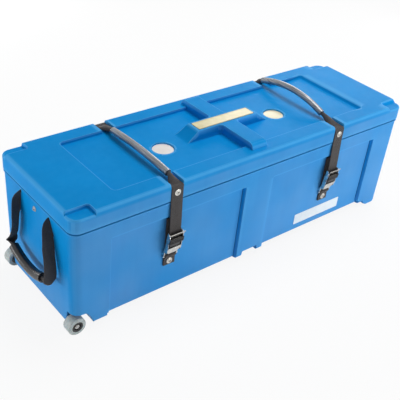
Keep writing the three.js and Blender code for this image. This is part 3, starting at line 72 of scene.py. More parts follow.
# Outer sizes of the case
HALF_LENGTH = ends_of("lid", X)[1]
HALF_WIDTH = ends_of("lid", Y)[1]
SEAM_Z, BAR_Z = ends_of("lid", Z)
BORDER_Z = 396.0
BASE_Z = 18.0
RECESS_DEPTH = 11.0
WALL = 5.0
CORNER = 30.0
EDGE = 8.0
# Beyond these places along and across, the plan's straight parts give way to an inset
BODY_STRETCH = (590, 120)
LID_STRETCH = (600, 160)

# Body
BODY_INSET = 2.5
BODY_DRAFT = 3.0
BODY_HEIGHT = 322.0
PANEL_DEPTH = 12.0
PANEL_SIDES = (58.0, 522.0)
PANEL_TOP_Z = 286.0
GROOVE_HALF = 31.5
GROOVE_DEPTH = 14.0
POCKET_END_X = -576.0
POCKET_SIDE_Y = 151.0
POCKET_TOP_Z = 62.5
POCKET_ROUND = 30.0
FOOT_START_X = 558.0
FOOT_START_RUN = 22.0
FOOT_SWEEP_X = 602.0
FOOT_SIDE_Y = 164.5

# Top of the lid
RECESS_HALF = (487.6, 142.6)
RECESS_ROUND = 12.0
STRAP_X = middle_of("buckle_frame_right", X)
STRAP_GROOVE_HALF = 20.5
CORNER_POCKET = (575.0, 159.0)
CORNER_POCKET_ROUND = 7.0
BAR_HALF = (28.5, 173.0)
PAD_HALF = (116.0, 27.0)
PAD_RAMP_RUN = 42.0
PAD_RAMP_FALL = 31.0
CROSS_ROUND = 14.0
PLATE_HALF = (ends_of("nameplate", X)[1], ends_of("nameplate", Y)[1])
PLATE_SEAT_DEPTH = 2.2
DISCS = {side: (middle_of(f"disc_{side}", X), middle_of(f"disc_{side}", Y)) for side in ("left", "right")}
DISC_RADIUS = 32.0
DISC_SEAT_DEPTH = 5.9
DISC_TOP_Z = ends_of("disc_left", Z)[1]
LABEL_X = middle_of("front_label", X)
LABEL_Z = middle_of("front_label", Z)

# Webbing and carrying tubes
WEBBING_WIDTH = 38.0
WEBBING_HALF = 1.2
FULL_CURL = 6.08
CURLED_RISE = 5.0
LID_FACE_Y = 199.5
STRAP_TOP_Z = 386.5
STRAP_JOIN_Z = 352.0
GATHER_LENGTH = 64.0
LID_RIVET_Z = 367.0
HINGE_RIVET_Z = 308.0
END_RIVET_Z = 310.0
ANCHOR_RIVET_Z = 124.0
# Side of the middle, front and back ends, and arch of each carrying tube
TUBES = {"left": (-1, -153.0, 118.0, 7.0), "right": (1, -115.0, 165.0, 26.0)}
TUBE_RADIUS = 10.5
TUBE_BORE = 7.0
TUBE_END_Z = 402.5

# Buckles
# Place along and height of the bar in the anchor loop, and of the pin up and out from that bar
BAR_PLACE = (-187.9925, 146.0)
BUCKLE_TILT = math.radians(9)
PIN_PLACE = (58.0, 9.15)

# End handles
END_WALL_X = 641.97
SLOT_TOP = (77.0, 325.0)
SLOT_LOW = (97.0, 283.0)
SLOT_MIDDLE_Y = 87.0
GRIP_HALF = 84.0
GRIP_Z = 144.0
GRIP_SAG = 20.0
GRIP_OUT = 28.0
GRIP_RADIUS = 14.0
HANDLE_LEAN = 0.25

# Wheels
WHEEL_X = middle_of("wheel_tyre_back", X)
WHEEL_Z = middle_of("wheel_tyre_back", Z)
WHEEL_FACE_Y = ends_of("wheel_tyre_back", Y)[1]


# Meshes

def smoothstep(value):
    """Three squares less two cubes of a value held between 0 and 1."""
    held = np.clip(value, 0, 1)
    return held * held * (3 - 2 * held)


def mark_edges(mesh):
    """Stores how far each point stands out of its neighbours, as an attribute: the mean, over its
    edges, of the sine of the angle at which the edge falls below the tangent plane. It is above 0 on
    outer edges, which the material paints paler as rubbed wear and as a painted highlight, and below
    0 in inner corners, which it paints with a light line and painted shade. It is raised for a
    painted highlight along the lid's outer rim, its upright corners and beside the seam. It is -1 in
    the seam, and it goes down towards -1 in the body's inner corners, for painted shade."""
    count = len(mesh.vertices)
    places, normals = np.empty(count * 3), np.empty(count * 3)
    mesh.vertices.foreach_get("co", places)
    mesh.vertex_normals.foreach_get("vector", normals)
    places, normals = places.reshape(-1, 3), normals.reshape(-1, 3)
    ends = np.empty(len(mesh.edges) * 2, int)
    mesh.edges.foreach_get("vertices", ends)
    near, far = ends.reshape(-1, 2).T
    ahead = places[far] - places[near]
    ahead /= np.linalg.norm(ahead, axis=1)[:, None]
    falls = np.concatenate([-(ahead * normals[near]).sum(axis=1), (ahead * normals[far]).sum(axis=1)])
    both = np.concatenate([near, far])
    mean = np.bincount(both, falls, count) / np.bincount(both, minlength=count)
    spread = mean.copy()
    np.maximum.at(spread, near, 0.55 * mean[far])
    np.maximum.at(spread, far, 0.55 * mean[near])
    mean = np.where(mean > -0.03, spread, mean)
    out = np.abs(places - (0, CENTRE_Y, 0)) / MM
    side, z = (out[:, :2] > (HALF_LENGTH - EDGE, HALF_WIDTH - EDGE)).any(axis=1), out[:, 2]
    # A painted highlight along the lid's outer top edge, strongest where its rounding turns from up towards
    # out.
    rim = side & (z > BORDER_Z - EDGE)
    mean = np.where(rim, np.maximum(mean, 0.09 - 0.3 * np.abs(normals[:, 2] - 0.75)), mean)
    # A painted highlight down the rounded upright corners, where the normal points about halfway between
    # front and end.
    upright = (np.abs(normals[:, 0] * normals[:, 1]) > 0.46) & (out[:, 0] > HALF_LENGTH - CORNER)
    mean = np.where(upright, np.maximum(mean, 0.05), mean)
    body = z < SEAM_Z
    # On the body the pale edges are weaker, and its inner corners, as beside the piers, are deepened into
    # painted shade.
    mean = np.where(body & (mean > 0), 0.35 * mean, mean)
    mean = np.where(body & (mean < -0.02), np.clip(6 * mean, -1, 0), mean)
    # A painted light line beside the seam, and painted shade in the seam itself.
    mean[np.abs(z - SEAM_Z) < 6] = 0.05
    mean[np.abs(z - SEAM_Z) < 1.8] = -1
    mesh.attributes.new("wear_highlight_and_shade", "FLOAT", "POINT").data.foreach_set("value", mean.astype(np.float32))


def finished(name, points, faces, material, uv=None, sharp=35):
    """Puts points in millimetres and faces into a mesh, merges doubles and turns its faces out."""
    mesh = bpy.data.meshes.new(name)
    place = (np.asarray(points, float) + (0, CENTRE_Y / MM, 0)) * MM
    mesh.from_pydata(place.tolist(), [], faces)
    if uv is not None:
        layer = mesh.uv_layers.new(name="UVMap")
        layer.data.foreach_set("uv", np.asarray(uv, np.float32).ravel())
    shape = bmesh.new()
    shape.from_mesh(mesh)
    bmesh.ops.remove_doubles(shape, verts=shape.verts, dist=1e-6)
    bmesh.ops.recalc_face_normals(shape, faces=shape.faces)
    shape.to_mesh(mesh)
    shape.free()
    mesh.shade_smooth()
    mesh.set_sharp_from_angle(angle=math.radians(sharp))
    mesh.materials.append(material)
    if material.name == "moulded_polyethylene":
        mark_edges(mesh)
    piece = bpy.data.objects.new(name, mesh)
    bpy.context.collection.objects.link(piece)
    return piece


def surface(name, points, material, uv=None, ring=False, sharp=35):
    """Joins a grid of points whose columns close on themselves: quads between neighbours, and one
    face over each open end unless the rows close as well."""
    rows, cols = points.shape[:2]
    i, j = np.meshgrid(np.arange(rows if ring else rows - 1), np.arange(cols), indexing="ij")
    steps = ((0, 0), (0, 1), (1, 1), (1, 0))
    quads = np.stack([(i + a) % rows * cols + (j + b) % cols for a, b in steps], -1)
    faces = quads.reshape(-1, 4).tolist()
    if not ring:
        faces += [list(range(cols)), list(range((rows - 1) * cols, rows * cols))]
    if uv is not None:
        corners = np.stack([uv[i + a, j + b] for a, b in steps], 2).reshape(-1, 2)
        ends = [] if ring else [uv[0, :cols], uv[-1, :cols]]
        uv = np.vstack([corners, *ends])
    return finished(name, points.reshape(-1, 3), faces, material, uv, sharp)


def unit(vectors):
    """Vectors along the last axis, each brought to length 1."""
    return vectors / np.linalg.norm(vectors, axis=-1, keepdims=True)


def distances(points):
    """How far each point of a line lies from its first one, along the line."""
    return np.concatenate([[0], np.cumsum(np.linalg.norm(np.diff(points, axis=0), axis=1))])


def circle(first, second, count):
    """Directions at equal angles from a first direction round through a second one."""
    angle = np.linspace(0, 2 * math.pi, count, endpoint=False)[None, :, None]
    return np.cos(angle) * first + np.sin(angle) * second


def bent(first, control, last, t):
    """The quadratic curve from a first to a last point, pulled towards a control point."""
    return first * (1 - t) ** 2 + control * 2 * t * (1 - t) + last * t ** 2


def soften(corners, radius, steps=6, closed=False):
    """Rounds a line of corners: each one is replaced by a quadratic curve between the two points
    that lie radius times the tangent of half its turn away from it."""
    corners = [np.asarray(corner, float) for corner in corners]
    count = len(corners)
    share = np.linspace(0, 1, steps + 1)[:, None]
    made = []
    for k, corner in enumerate(corners):
        if not closed and k in (0, count - 1):
            made.append(corner[None])
            continue
        before, after = corners[k - 1] - corner, corners[(k + 1) % count] - corner
        lengths = np.linalg.norm(before), np.linalg.norm(after)
        between = np.clip(before @ after / (lengths[0] * lengths[1]), -1, 1)
        turn = math.pi - math.acos(between)
        reach = min(radius * math.tan(min(turn, 3.0) / 2), 0.48 * min(lengths))
        first, last = corner + before / lengths[0] * reach, corner + after / lengths[1] * reach
        made.append(bent(first, corner, last, share))
    return np.vstack(made)


def evenly(points, spacing):
    """Points at equal distances along a line of points."""
    along = distances(points)
    count = max(int(along[-1] / spacing), 2)
    places = np.linspace(0, along[-1], count + 1)
    return np.stack([np.interp(places, along, column) for column in points.T], -1)


def directions(path, across):
    """Out of a band: at right angles to its path and to the direction of its width."""
    along = np.gradient(path, axis=0)
    return unit(np.cross(np.broadcast_to(across, path.shape), along))


def lathe(name, profile, centre, axis, material, count=40, ring=False):
    """Turns a profile of distance along an axis and radius from it about that axis. A ring's
    profile closes on itself, as that of a tyre or a hub does."""
    profile, axis = np.asarray(profile, float), np.asarray(axis, float)
    first = unit(np.cross(axis, (0.0, 0.0, 1.0) if abs(axis[2]) < 0.9 else (1.0, 0.0, 0.0)))
    along, radius = profile[:, :1, None], profile[:, 1:, None]
    points = centre + along * axis + radius * circle(first, np.cross(axis, first), count)
    return surface(name, points, material, ring=ring)


def place_at(points, x):
    """Puts points of a buckle, given along its width, up its plate and out from it, in the case."""
    up = np.array((0, -math.sin(BUCKLE_TILT), math.cos(BUCKLE_TILT)))
    out = np.array((0, -math.cos(BUCKLE_TILT), -math.sin(BUCKLE_TILT)))
    points = np.asarray(points, float)
    base = np.array((x, *BAR_PLACE))
    return base + points[..., :1] * (1, 0, 0) + points[..., 1:2] * up + points[..., 2:] * out


def drawn_in(z):
    """How far the body's walls stand in from the outer plan: an inset, and a draft that grows
    from the seam down."""
    return BODY_INSET + BODY_DRAFT * np.clip((SEAM_Z - z) / BODY_HEIGHT, 0, 1)


def panel_face(z):
    """Distance of the sunk panels from the middle."""
    return HALF_WIDTH - drawn_in(z) - PANEL_DEPTH


def ready(piece, body, slot, *nodes):
    """Lets a piece ride on a body and stand for the nodes that it replaces; its slot is not used."""
    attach(piece, body)
    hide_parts(*nodes)


def between_bodies(piece, first, second, start, end, *nodes):
    """Bakes a strip of webbing where it stands and hides the nodes that it replaces; the two bodies and the
    two places are not used.
    """
    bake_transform(piece)
    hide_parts(*nodes)


# Materials

def linear(code):
    """Linear red, green and blue of an sRGB hex colour, with full opacity."""
    parts = [int(code[k:k + 2], 16) / 255 for k in (1, 3, 5)]
    return (*[p / 12.92 if p <= 0.04045 else ((p + 0.055) / 1.055) ** 2.4 for p in parts], 1)


def add_node(tree, kind, inputs=None, **settings):
    """Adds a node with its settings. Each input gets a value, or a link from a socket or from the
    first output of a node."""
    node = tree.nodes.new("ShaderNode" + kind)
    for key, value in settings.items():
        setattr(node, key, value)
    for key, value in (inputs or {}).items():
        if isinstance(value, bpy.types.Node):
            value = value.outputs[0]
        if isinstance(value, bpy.types.NodeSocket):
            tree.links.new(value, node.inputs[key])
        else:
            node.inputs[key].default_value = value
    return node


def new_material(name):
    """An empty material, with the Object and UV coordinates in metres."""
    material = bpy.data.materials.new(name)
    material.use_nodes = True
    tree = material.node_tree
    tree.nodes.clear()
    return material, tree, add_node(tree, "TexCoord")


def grains(where, size_mm, detail=2, roughness=0.5):
    """What a noise needs for grains of about a size in millimetres, where places are in metres."""
    return {"Vector": where, "Scale": 1 / (size_mm * MM), "Detail": detail, "Roughness": roughness}


def span(value, low_at, high_at, low, high):
    """What it takes to carry a value from one range to another."""
    return {"Value": value, "From Min": low_at, "From Max": high_at, "To Min": low, "To Max": high}


def painted(tree, base, *layers):
    """Lays colours over a base colour. A layer has a value, the two ends of its range, the shares
    that its colour takes at those ends, and the colour."""
    colour = linear(base)
    for *shares, code in layers:
        share = add_node(tree, "MapRange", span(*shares))
        mixed = add_node(tree, "Mix", {0: share, 6: colour, 7: linear(code)}, data_type="RGBA")
        colour = mixed.outputs[2]
    return colour


def relief(tree, where, *layers):
    """Bumps laid over each other: each has its grain size and depth in millimetres, its strength
    and the detail of its noise."""
    below = {}
    for size_mm, depth_mm, strength, detail in layers:
        height = add_node(tree, "TexNoise", grains(where, size_mm, detail))
        inputs = {"Height": height, "Distance": depth_mm * MM, "Strength": strength, **below}
        below = {"Normal": add_node(tree, "Bump", inputs)}
    return below["Normal"]


def coat_with(tree, colour, roughness, normal, **finish):
    """Gives the surface its shader; an underscore in a name stands for a space."""
    inputs = {"Base Color": colour, "Roughness": roughness, "Normal": normal}
    inputs.update((key.replace("_", " "), value) for key, value in finish.items())
    add_node(tree, "OutputMaterial", {"Surface": add_node(tree, "BsdfPrincipled", inputs)})


def clouded(name, tones, cloud, roughness, bump, stretch=(1, 1, 1), range_at=(0.3, 0.7), **finish):
    """A material of two tones that cloud into each other on grains of one size, with bumps of
    another. Roughness is one value, or two values and the grains that carry it between them."""
    material, tree, places = new_material(name)
    where = places.outputs["Object"]
    stretched = add_node(tree, "Mapping", {"Vector": where, "Scale": stretch})
    clouds = add_node(tree, "TexNoise", grains(stretched, *cloud))
    colour = painted(tree, tones[0], (clouds, *range_at, 0, 1, tones[1]))
    if isinstance(roughness, tuple):
        dull, glossy, *size = roughness
        rubbed = add_node(tree, "TexNoise", grains(where, *size))
        roughness = add_node(tree, "MapRange", span(rubbed, 0.3, 0.7, dull, glossy))
    coat_with(tree, colour, roughness, relief(tree, where, bump), **finish)
    return material


def moulded_polyethylene():
    """Rotation-moulded polyethylene: soft satin with a fine orange peel left by the mould, slow
    waves in its thick walls, faint upright streaks, a painted pale sheen on its upright faces, outer
    edges painted paler as rubbed wear and as a highlight, painted light lines in the softer inner
    corners, and painted shade in the seam and the deeper inner corners."""
    material, tree, places = new_material("moulded_polyethylene")
    where = places.outputs["Object"]
    drawn = add_node(tree, "Mapping", {"Vector": where, "Scale": (1.0, 1.0, 0.12)})
    tone, streak, scuff, mist, shine = (
        add_node(tree, "TexNoise", grains(place, *size)) for place, size in (
            (where, (160,)), (drawn, (22, 4)), (where, (2.4, 6, 0.7)), (where, (240,)), (where, (34,)),
        )
    )
    # A painted pale sheen that stands in for a reflection of the white floor: on faces turned to the front
    # or back, and on the end faces near the floor. It is kept off the lid's top and clouded on large grains.
    normal = add_node(tree, "NewGeometry").outputs["Normal"]
    facing = add_node(tree, "SeparateXYZ", {"Vector": normal})
    height = add_node(tree, "SeparateXYZ", {"Vector": where}).outputs["Z"]
    front = add_node(tree, "Math", {0: facing.outputs["Y"]}, operation="ABSOLUTE")
    end = add_node(tree, "Math", {0: facing.outputs["X"]}, operation="ABSOLUTE")
    near_floor = add_node(tree, "MapRange", span(height, 0.02, 0.26, 0.9, 0))
    low_end = add_node(tree, "Math", {0: end, 1: near_floor}, operation="MULTIPLY")
    upright = add_node(tree, "Math", {0: front, 1: low_end}, operation="MAXIMUM")
    painted_sheen = add_node(tree, "MapRange", span(upright, 0.2, 0.9, 0, 0.09))
    for limit in (span(height, 0.374, 0.384, 1, 0), span(mist, 0.3, 0.7, 0.6, 1.5)):
        share = add_node(tree, "MapRange", limit)
        painted_sheen = add_node(tree, "Math", {0: painted_sheen, 1: share}, operation="MULTIPLY")
    # The shell's edge attribute: above 0 on outer edges, below 0 in inner corners and in the seam.
    edge = add_node(tree, "Attribute", attribute_name="wear_highlight_and_shade").outputs["Fac"]
    colour = painted(
        tree, "#018bd6",
        (tone, 0.3, 0.7, 0, 1, "#0292de"),
        (streak, 0.3, 0.7, 0, 0.2, "#22a0e6"),
        (scuff, 0.6, 0.78, 0, 0.16, "#36a2e2"),
        # The painted sheen on the upright faces.
        (painted_sheen, 0, 1, 0, 1, "#dde6f2"),
        # Outer edges paler, partly as rubbed wear and mostly as a painted highlight.
        (edge, 0.008, 0.07, 0, 0.55, "#5fb8f4"),
        # A painted light line along the softer part of the inner corners.
        (edge, -0.2, -0.04, 0.3, 0, "#2fa0ea"),
        # Painted shade in the seam and the deeper inner corners.
        (edge, -0.9, -0.3, 0.85, 0, "#033f7c"),
    )
    gloss = add_node(tree, "MapRange", span(shine, 0.3, 0.7, 0.36, 0.44))
    waves, peel = (55, 0.5, 0.5, 1), (2.6, 0.12, 0.55, 2)
    coat_with(
        tree, colour, gloss, relief(tree, where, waves, peel), IOR=1.51, Specular_IOR_Level=0.04,
    )
    return material


def woven_polypropylene():
    """Woven polypropylene webbing: matt, near black, with ribs across at 1.7 mm, drawn from
    lengthwise yarns at 1.3 mm, and a paler dusty tone on the crowns of the yarns."""
    material, tree, places = new_material("woven_polypropylene")
    split = add_node(tree, "SeparateXYZ", {"Vector": places.outputs["UV"]})
    yarns = []
    for axis, pitch in (("X", 1.3), ("Y", 1.7)):
        inputs = {0: split.outputs[axis], 1: 2 * math.pi / (pitch * MM)}
        turned = add_node(tree, "Math", inputs, operation="MULTIPLY")
        yarns.append(add_node(tree, "Math", {0: turned}, operation="SINE"))
    woven = add_node(tree, "Math", {0: yarns[0], 1: yarns[1]}, operation="MULTIPLY")
    crowns = add_node(tree, "MapRange", span(woven, -1, 1, 0, 1))
    dust = add_node(tree, "TexNoise", grains(places.outputs["Object"], 9, 4))
    colour = painted(
        tree, "#2a2727", (crowns, 0, 1, 0, 1, "#454141"), (dust, 0.3, 0.7, 0, 0.5, "#332e2d"),
    )
    normal = add_node(tree, "Bump", {"Height": crowns, "Distance": 0.35 * MM, "Strength": 0.8})
    coat_with(tree, colour, 0.78, normal, IOR=1.49, Sheen_Weight=0.12, Sheen_Roughness=0.5)
    return material


def plated_steel(name, tones, dull, glossy):
    """Pressed steel with a plate: bright metal, cloudy at about a centimetre, with fine rubbing
    marks that spread its highlights."""
    rubbing = (dull, glossy, 1.6, 6, 0.7)
    return clouded(name, tones, (11, 4), rubbing, (1.1, 0.03, 0.5, 4), Metallic=1.0)


def lacquered(name, tones, roughness=0.32):
    """A lacquered plate, disc or film: an even pale colour, faintly clouded, under a clear coat."""
    return clouded(
        name, tones, (30, 3), roughness, (3, 0.04, 0.5, 2), IOR=1.5, Coat_Weight=0.3, Coat_Roughness=0.1,
    )


SHELL = moulded_polyethylene()
WEBBING = woven_polypropylene()
# Thick clear-grey vinyl hose over dark webbing: streaks of the webbing show within the grey body,
# and its smooth skin gives a hard highlight along it.
HOSE = clouded(
    "glossy_vinyl_hose", ("#2b3037", "#7f8994"), (4, 3), 0.26, (14, 0.25, 0.4, 2), (1.0, 0.06, 1.0),
    IOR=1.6, Coat_Weight=1.0, Coat_Roughness=0.05, Coat_IOR=1.7,
)
# Extruded black rubber hose: deep black and smooth, with a soft gloss and dull rubbed patches.
RUBBER = clouded(
    "black_rubber_hose", ("#121214", "#222124"), (18, 4), (0.24, 0.42, 26, 3), (1.8, 0.08, 0.4, 2), IOR=1.52,
)
# Moulded nylon for levers and hubs: charcoal, with a fine spark-eroded grain that scatters light.
NYLON = clouded(
    "moulded_black_nylon", ("#161618", "#262629"), (12,), 0.46, (0.9, 0.08, 0.6, 3), IOR=1.53,
)
# Cast urethane tyre: pale grey and waxy, with road dirt in its lower tones and a dull face.
URETHANE = clouded(
    "cast_urethane", ("#c3ccca", "#9fa9aa"), (7, 5, 0.65), 0.55, (1.5, 0.12, 0.6, 3),
    range_at=(0.4, 0.75), IOR=1.5, Subsurface_Weight=0.08, Subsurface_Scale=0.004,
)
NICKEL = plated_steel("nickel_plated_steel", ("#b9b7b2", "#d9d7d1"), 0.2, 0.36)
ZINC = plated_steel("zinc_plated_steel", ("#8f9296", "#b1b4b6"), 0.3, 0.5)
SPRING_STEEL = plated_steel("oiled_spring_steel", ("#4a4b4d", "#6b6b6a"), 0.3, 0.5)
PLATE = lacquered("enamelled_name_plate", ("#ddd3a4", "#cfc48c"))
DISC_WHITE = lacquered("white_acrylic_disc", ("#efe9e5", "#e6e0da"))
DISC_CREAM = lacquered("cream_acrylic_disc", ("#e4dbb6", "#d9cfa2"))
LABEL = lacquered("white_label_film", ("#eff7fb", "#e6f1f7"), 0.4)


# Camera at the photograph's place

CAMERA_PLACE = (-1.3610, -1.4486, 1.4347)
CAMERA_TURN = (-41.943, 33.774, 5.985)
CAMERA_LENS = 65.18


def add_camera():
    """Puts the camera where the photograph was taken from. Its turn is the azimuth and elevation of
    the line back to it, and its roll about that line."""
    azimuth, elevation, roll = (math.radians(degrees) for degrees in CAMERA_TURN)
    back = Vector((
        math.sin(azimuth) * math.cos(elevation),
        -math.cos(azimuth) * math.cos(elevation),
        math.sin(elevation),
    ))
    right = Vector((0, 0, 1)).cross(back).normalized()
    up = back.cross(right)
    side = math.cos(roll) * right + math.sin(roll) * up
    top = -math.sin(roll) * right + math.cos(roll) * up
    camera = bpy.data.objects.new("camera", bpy.data.cameras.new("camera"))
    camera.data.sensor_width = 36
    camera.data.lens = CAMERA_LENS
    camera.data.clip_end = 50
    turn = Matrix((side, top, back)).transposed().to_4x4()
    camera.matrix_world = Matrix.Translation(Vector(CAMERA_PLACE) + Vector((0, CENTRE_Y, 0))) @ turn
    bpy.context.collection.objects.link(camera)
    bpy.context.scene.camera = camera


add_camera()


# Body and lid: closed trays on a grid of plan lines

def plan_lines(half, spots, widest):
    """Positions across a plan: the places that the spots give, and even filling between them."""
    marks = {-half, half}
    for place, offsets in spots:
        marks.update(round(place + offset, 3) for offset in offsets)
    marks = sorted(mark for mark in marks if abs(mark) <= half)
    kept = [marks[0]]
    for mark in marks[1:]:
        if mark - kept[-1] > 0.25:
            kept.append(mark)
    kept[-1] = half
    parts = []
    for low, high in zip(kept[:-1], kept[1:]):
        parts.append(np.linspace(low, high, max(math.ceil((high - low) / widest), 1) + 1)[:-1])
    return np.append(np.concatenate(parts), half)


EDGE_OFFSETS = (0, 0.3, 1.1, 2.4, 4.0, 5.9, 8.0, 10.5, 13.5, 17.0, 21.0, 25.5, CORNER)
STEP_OFFSETS = (-6.5, -3.5, -2.2, -1.3, -0.6, 0, 0.6, 1.3, 2.2, 3.5, 6.5)
GROOVE_OFFSETS = (-3.5, -1.6, -0.8, 0, 0.8, 1.6, 3.5)


def both_ends(half):
    """The lines that round the two outer edges of a plan."""
    return [(-half, EDGE_OFFSETS), (half, [-offset for offset in EDGE_OFFSETS])]


def both_sides(place, offsets=STEP_OFFSETS):
    """The same lines about a place on either side of the middle."""
    return [(place, offsets), (-place, [-offset for offset in offsets])]


def plan_place(px, py, inset, radius, start):
    """Carries a point of the plan grid to a rounded rectangle: outside the middle part it is drawn in
    by the inset, and the squares of each corner become arcs of the radius. The angle of an arc grows
    as the ratio of the smaller to the larger distance into the corner."""
    reach = HALF_LENGTH - CORNER, HALF_WIDTH - CORNER
    a = np.clip(np.abs(px) - reach[0], 0, None)
    b = np.clip(np.abs(py) - reach[1], 0, None)
    large, small = np.maximum(a, b), np.minimum(a, b)
    angle = np.divide(small, large, out=np.zeros_like(large), where=large > 0) * math.pi / 4
    ahead, beside = large * np.cos(angle), large * np.sin(angle)
    scale = radius / CORNER
    placed = []
    for p, limit, half, from_here, arc in (
        (px, reach[0], HALF_LENGTH, start[0], np.where(a >= b, ahead, beside)),
        (py, reach[1], HALF_WIDTH, start[1], np.where(a >= b, beside, ahead)),
    ):
        base = np.minimum(np.abs(p), limit)
        drawn = (half - inset - radius - from_here) / (limit - from_here)
        base = np.where(base > from_here, from_here + (base - from_here) * drawn, base)
        placed.append(np.sign(p) * (base + arc * scale))
    return placed


def rim_numbers(rows, cols):
    """The numbers of a grid's edge points, once round."""
    index = np.arange(rows * cols).reshape(rows, cols)
    return np.concatenate([index[0, :-1], index[:-1, -1], index[-1, :0:-1], index[:0:-1, 0]])


def tray(name, outer, levels, inner, sharp):
    """A closed tray: two grids of points, with rings of points between their edges."""
    rows, cols = outer.shape[:2]
    rim = rim_numbers(rows, cols)
    count = rows * cols
    between_rings = count + np.arange(levels.shape[0] * len(rim)).reshape(levels.shape[0], -1)
    inner_start = count + between_rings.size
    stack = np.vstack([rim, between_rings, rim + inner_start])
    turned = np.roll(stack, -1, axis=1)
    walls = np.stack([stack[:-1], stack[1:], turned[1:], turned[:-1]], -1).reshape(-1, 4)
    index = np.arange(count).reshape(rows, cols)
    grid = np.stack([index[:-1, :-1], index[1:, :-1], index[1:, 1:], index[:-1, 1:]], -1).reshape(-1, 4)
    faces = np.vstack([grid, grid + inner_start, walls])
    points = np.vstack([outer.reshape(-1, 3), levels.reshape(-1, 3), inner.reshape(-1, 3)])
    return finished(name, points, faces.tolist(), SHELL, sharp=sharp)


def step_down(distance, width):
    """1 inside a shape and 0 outside, with a smooth slope of a width across its edge."""
    return smoothstep(0.5 - distance / width)


def fillet(distance, radius):
    """How far a rounded edge falls below its face at a distance in from the edge."""
    left = np.clip(radius - distance, 0, radius)
    return radius - np.sqrt(radius * radius - left * left)


def rounded_max(a, b, blend_mm):
    """The larger of two heights, with a small curve where they meet."""
    near = np.clip(blend_mm - np.abs(a - b), 0, None)
    return np.maximum(a, b) + near * near / (4 * blend_mm)


def rounded_corner(qx, qy, radius):
    """Distance to a shape that is inside where both distances are negative, with a rounded corner."""
    outside = np.hypot(np.clip(qx + radius, 0, None), np.clip(qy + radius, 0, None))
    return outside + np.minimum(np.maximum(qx + radius, qy + radius), 0) - radius


def bar_drop(distance, slope, radius=3.0):
    """How far a raised bar falls: round over its edge, then straight down its side."""
    over = np.clip(distance + radius, 0, radius)
    rounded = radius - np.sqrt(np.clip(radius * radius - over * over, 0, None))
    return rounded + np.clip(distance, 0, None) * slope


def lid_height(x, y, edge, grow):
    """Height of the lid at a place: the border less the recess, grooves and pockets, raised by the
    crossbar and the pad, less the seats and the rounding of the outer edge. The underside is the
    same surface with its hollows grown by the wall and lowered by it."""
    ax, ay = np.abs(x), np.abs(y)
    recess = rounded_corner(ax - RECESS_HALF[0], ay - RECESS_HALF[1], RECESS_ROUND)
    groove = np.abs(ax - STRAP_X) - STRAP_GROOVE_HALF
    pocket = rounded_corner(CORNER_POCKET[0] - ax, CORNER_POCKET[1] - ay, CORNER_POCKET_ROUND)
    cavity = np.minimum(np.minimum(recess, groove), pocket) - grow
    wall_run = 2.6 + 8 * smoothstep((x - RECESS_HALF[0] + 45) / 40)
    height = BORDER_Z - RECESS_DEPTH * step_down(cavity, wall_run)
    past_bar, past_pad = ax - BAR_HALF[0] + grow, ay - PAD_HALF[1] + grow
    inner = np.hypot(np.clip(CROSS_ROUND - past_bar, 0, None), np.clip(CROSS_ROUND - past_pad, 0, None))
    beside = np.maximum(np.minimum(past_bar, past_pad), CROSS_ROUND) - inner
    beside = np.where((past_bar < 0) | (past_pad < 0), np.minimum(past_bar, past_pad), beside)
    steepness = 5.6 + 8.4 * np.clip(0.5 + (past_pad - past_bar) / (2 * CROSS_ROUND), 0, 1)
    side_fall = bar_drop(beside, steepness)
    end_fall = bar_drop(ay - BAR_HALF[1] + grow, 0.8, 24.0)
    ramp = PAD_RAMP_FALL * (np.clip(ax - PAD_HALF[0] + grow, 0, None) / PAD_RAMP_RUN) ** 0.87
    cross = BAR_Z - rounded_max(rounded_max(side_fall, end_fall, 5.0), ramp, 1.5)
    height = rounded_max(height, cross, 2.0)
    if grow == 0:
        seat = np.maximum(ax - PLATE_HALF[0], ay - PLATE_HALF[1]) - 1
        height = height - PLATE_SEAT_DEPTH * step_down(seat, 0.9)
    for cx, cy in DISCS.values():
        dish = np.hypot(x - cx, y - cy) - DISC_RADIUS - 1.2 - grow
        height = height - DISC_SEAT_DEPTH * step_down(dish, 1.8)
    round_edge = EDGE - 4 * step_down(cavity, 4)
    return height - fillet(edge, round_edge) - grow


def ring_round_discs(px, py):
    """Turns the plan lines near each disc from squares into circles about it."""
    for cx, cy in DISCS.values():
        a, b = px - cx, py - cy
        large = np.maximum(np.abs(a), np.abs(b))
        wide = np.abs(a) >= np.abs(b)
        ratio = np.divide(np.where(wide, b, a), np.where(wide, a, b), out=np.zeros_like(a), where=large > 0)
        angle = ratio * math.pi / 4
        main = np.where(wide, a, b)
        round_a = np.where(wide, main * np.cos(angle), main * np.sin(angle))
        round_b = np.where(wide, main * np.sin(angle), main * np.cos(angle))
        weight = 1 - smoothstep((large - 37) / 16)
        px = px + (round_a - a) * weight
        py = py + (round_b - b) * weight
    return px, py


def rings(place, levels, inset=0.0):
    """Rings round a rim, one at each height; a height is one value or one for every point."""
    made = []
    for level in levels:
        x, y = place(level, inset)
        made.append(np.column_stack([x, y, np.broadcast_to(level, x.shape)]))
    return made


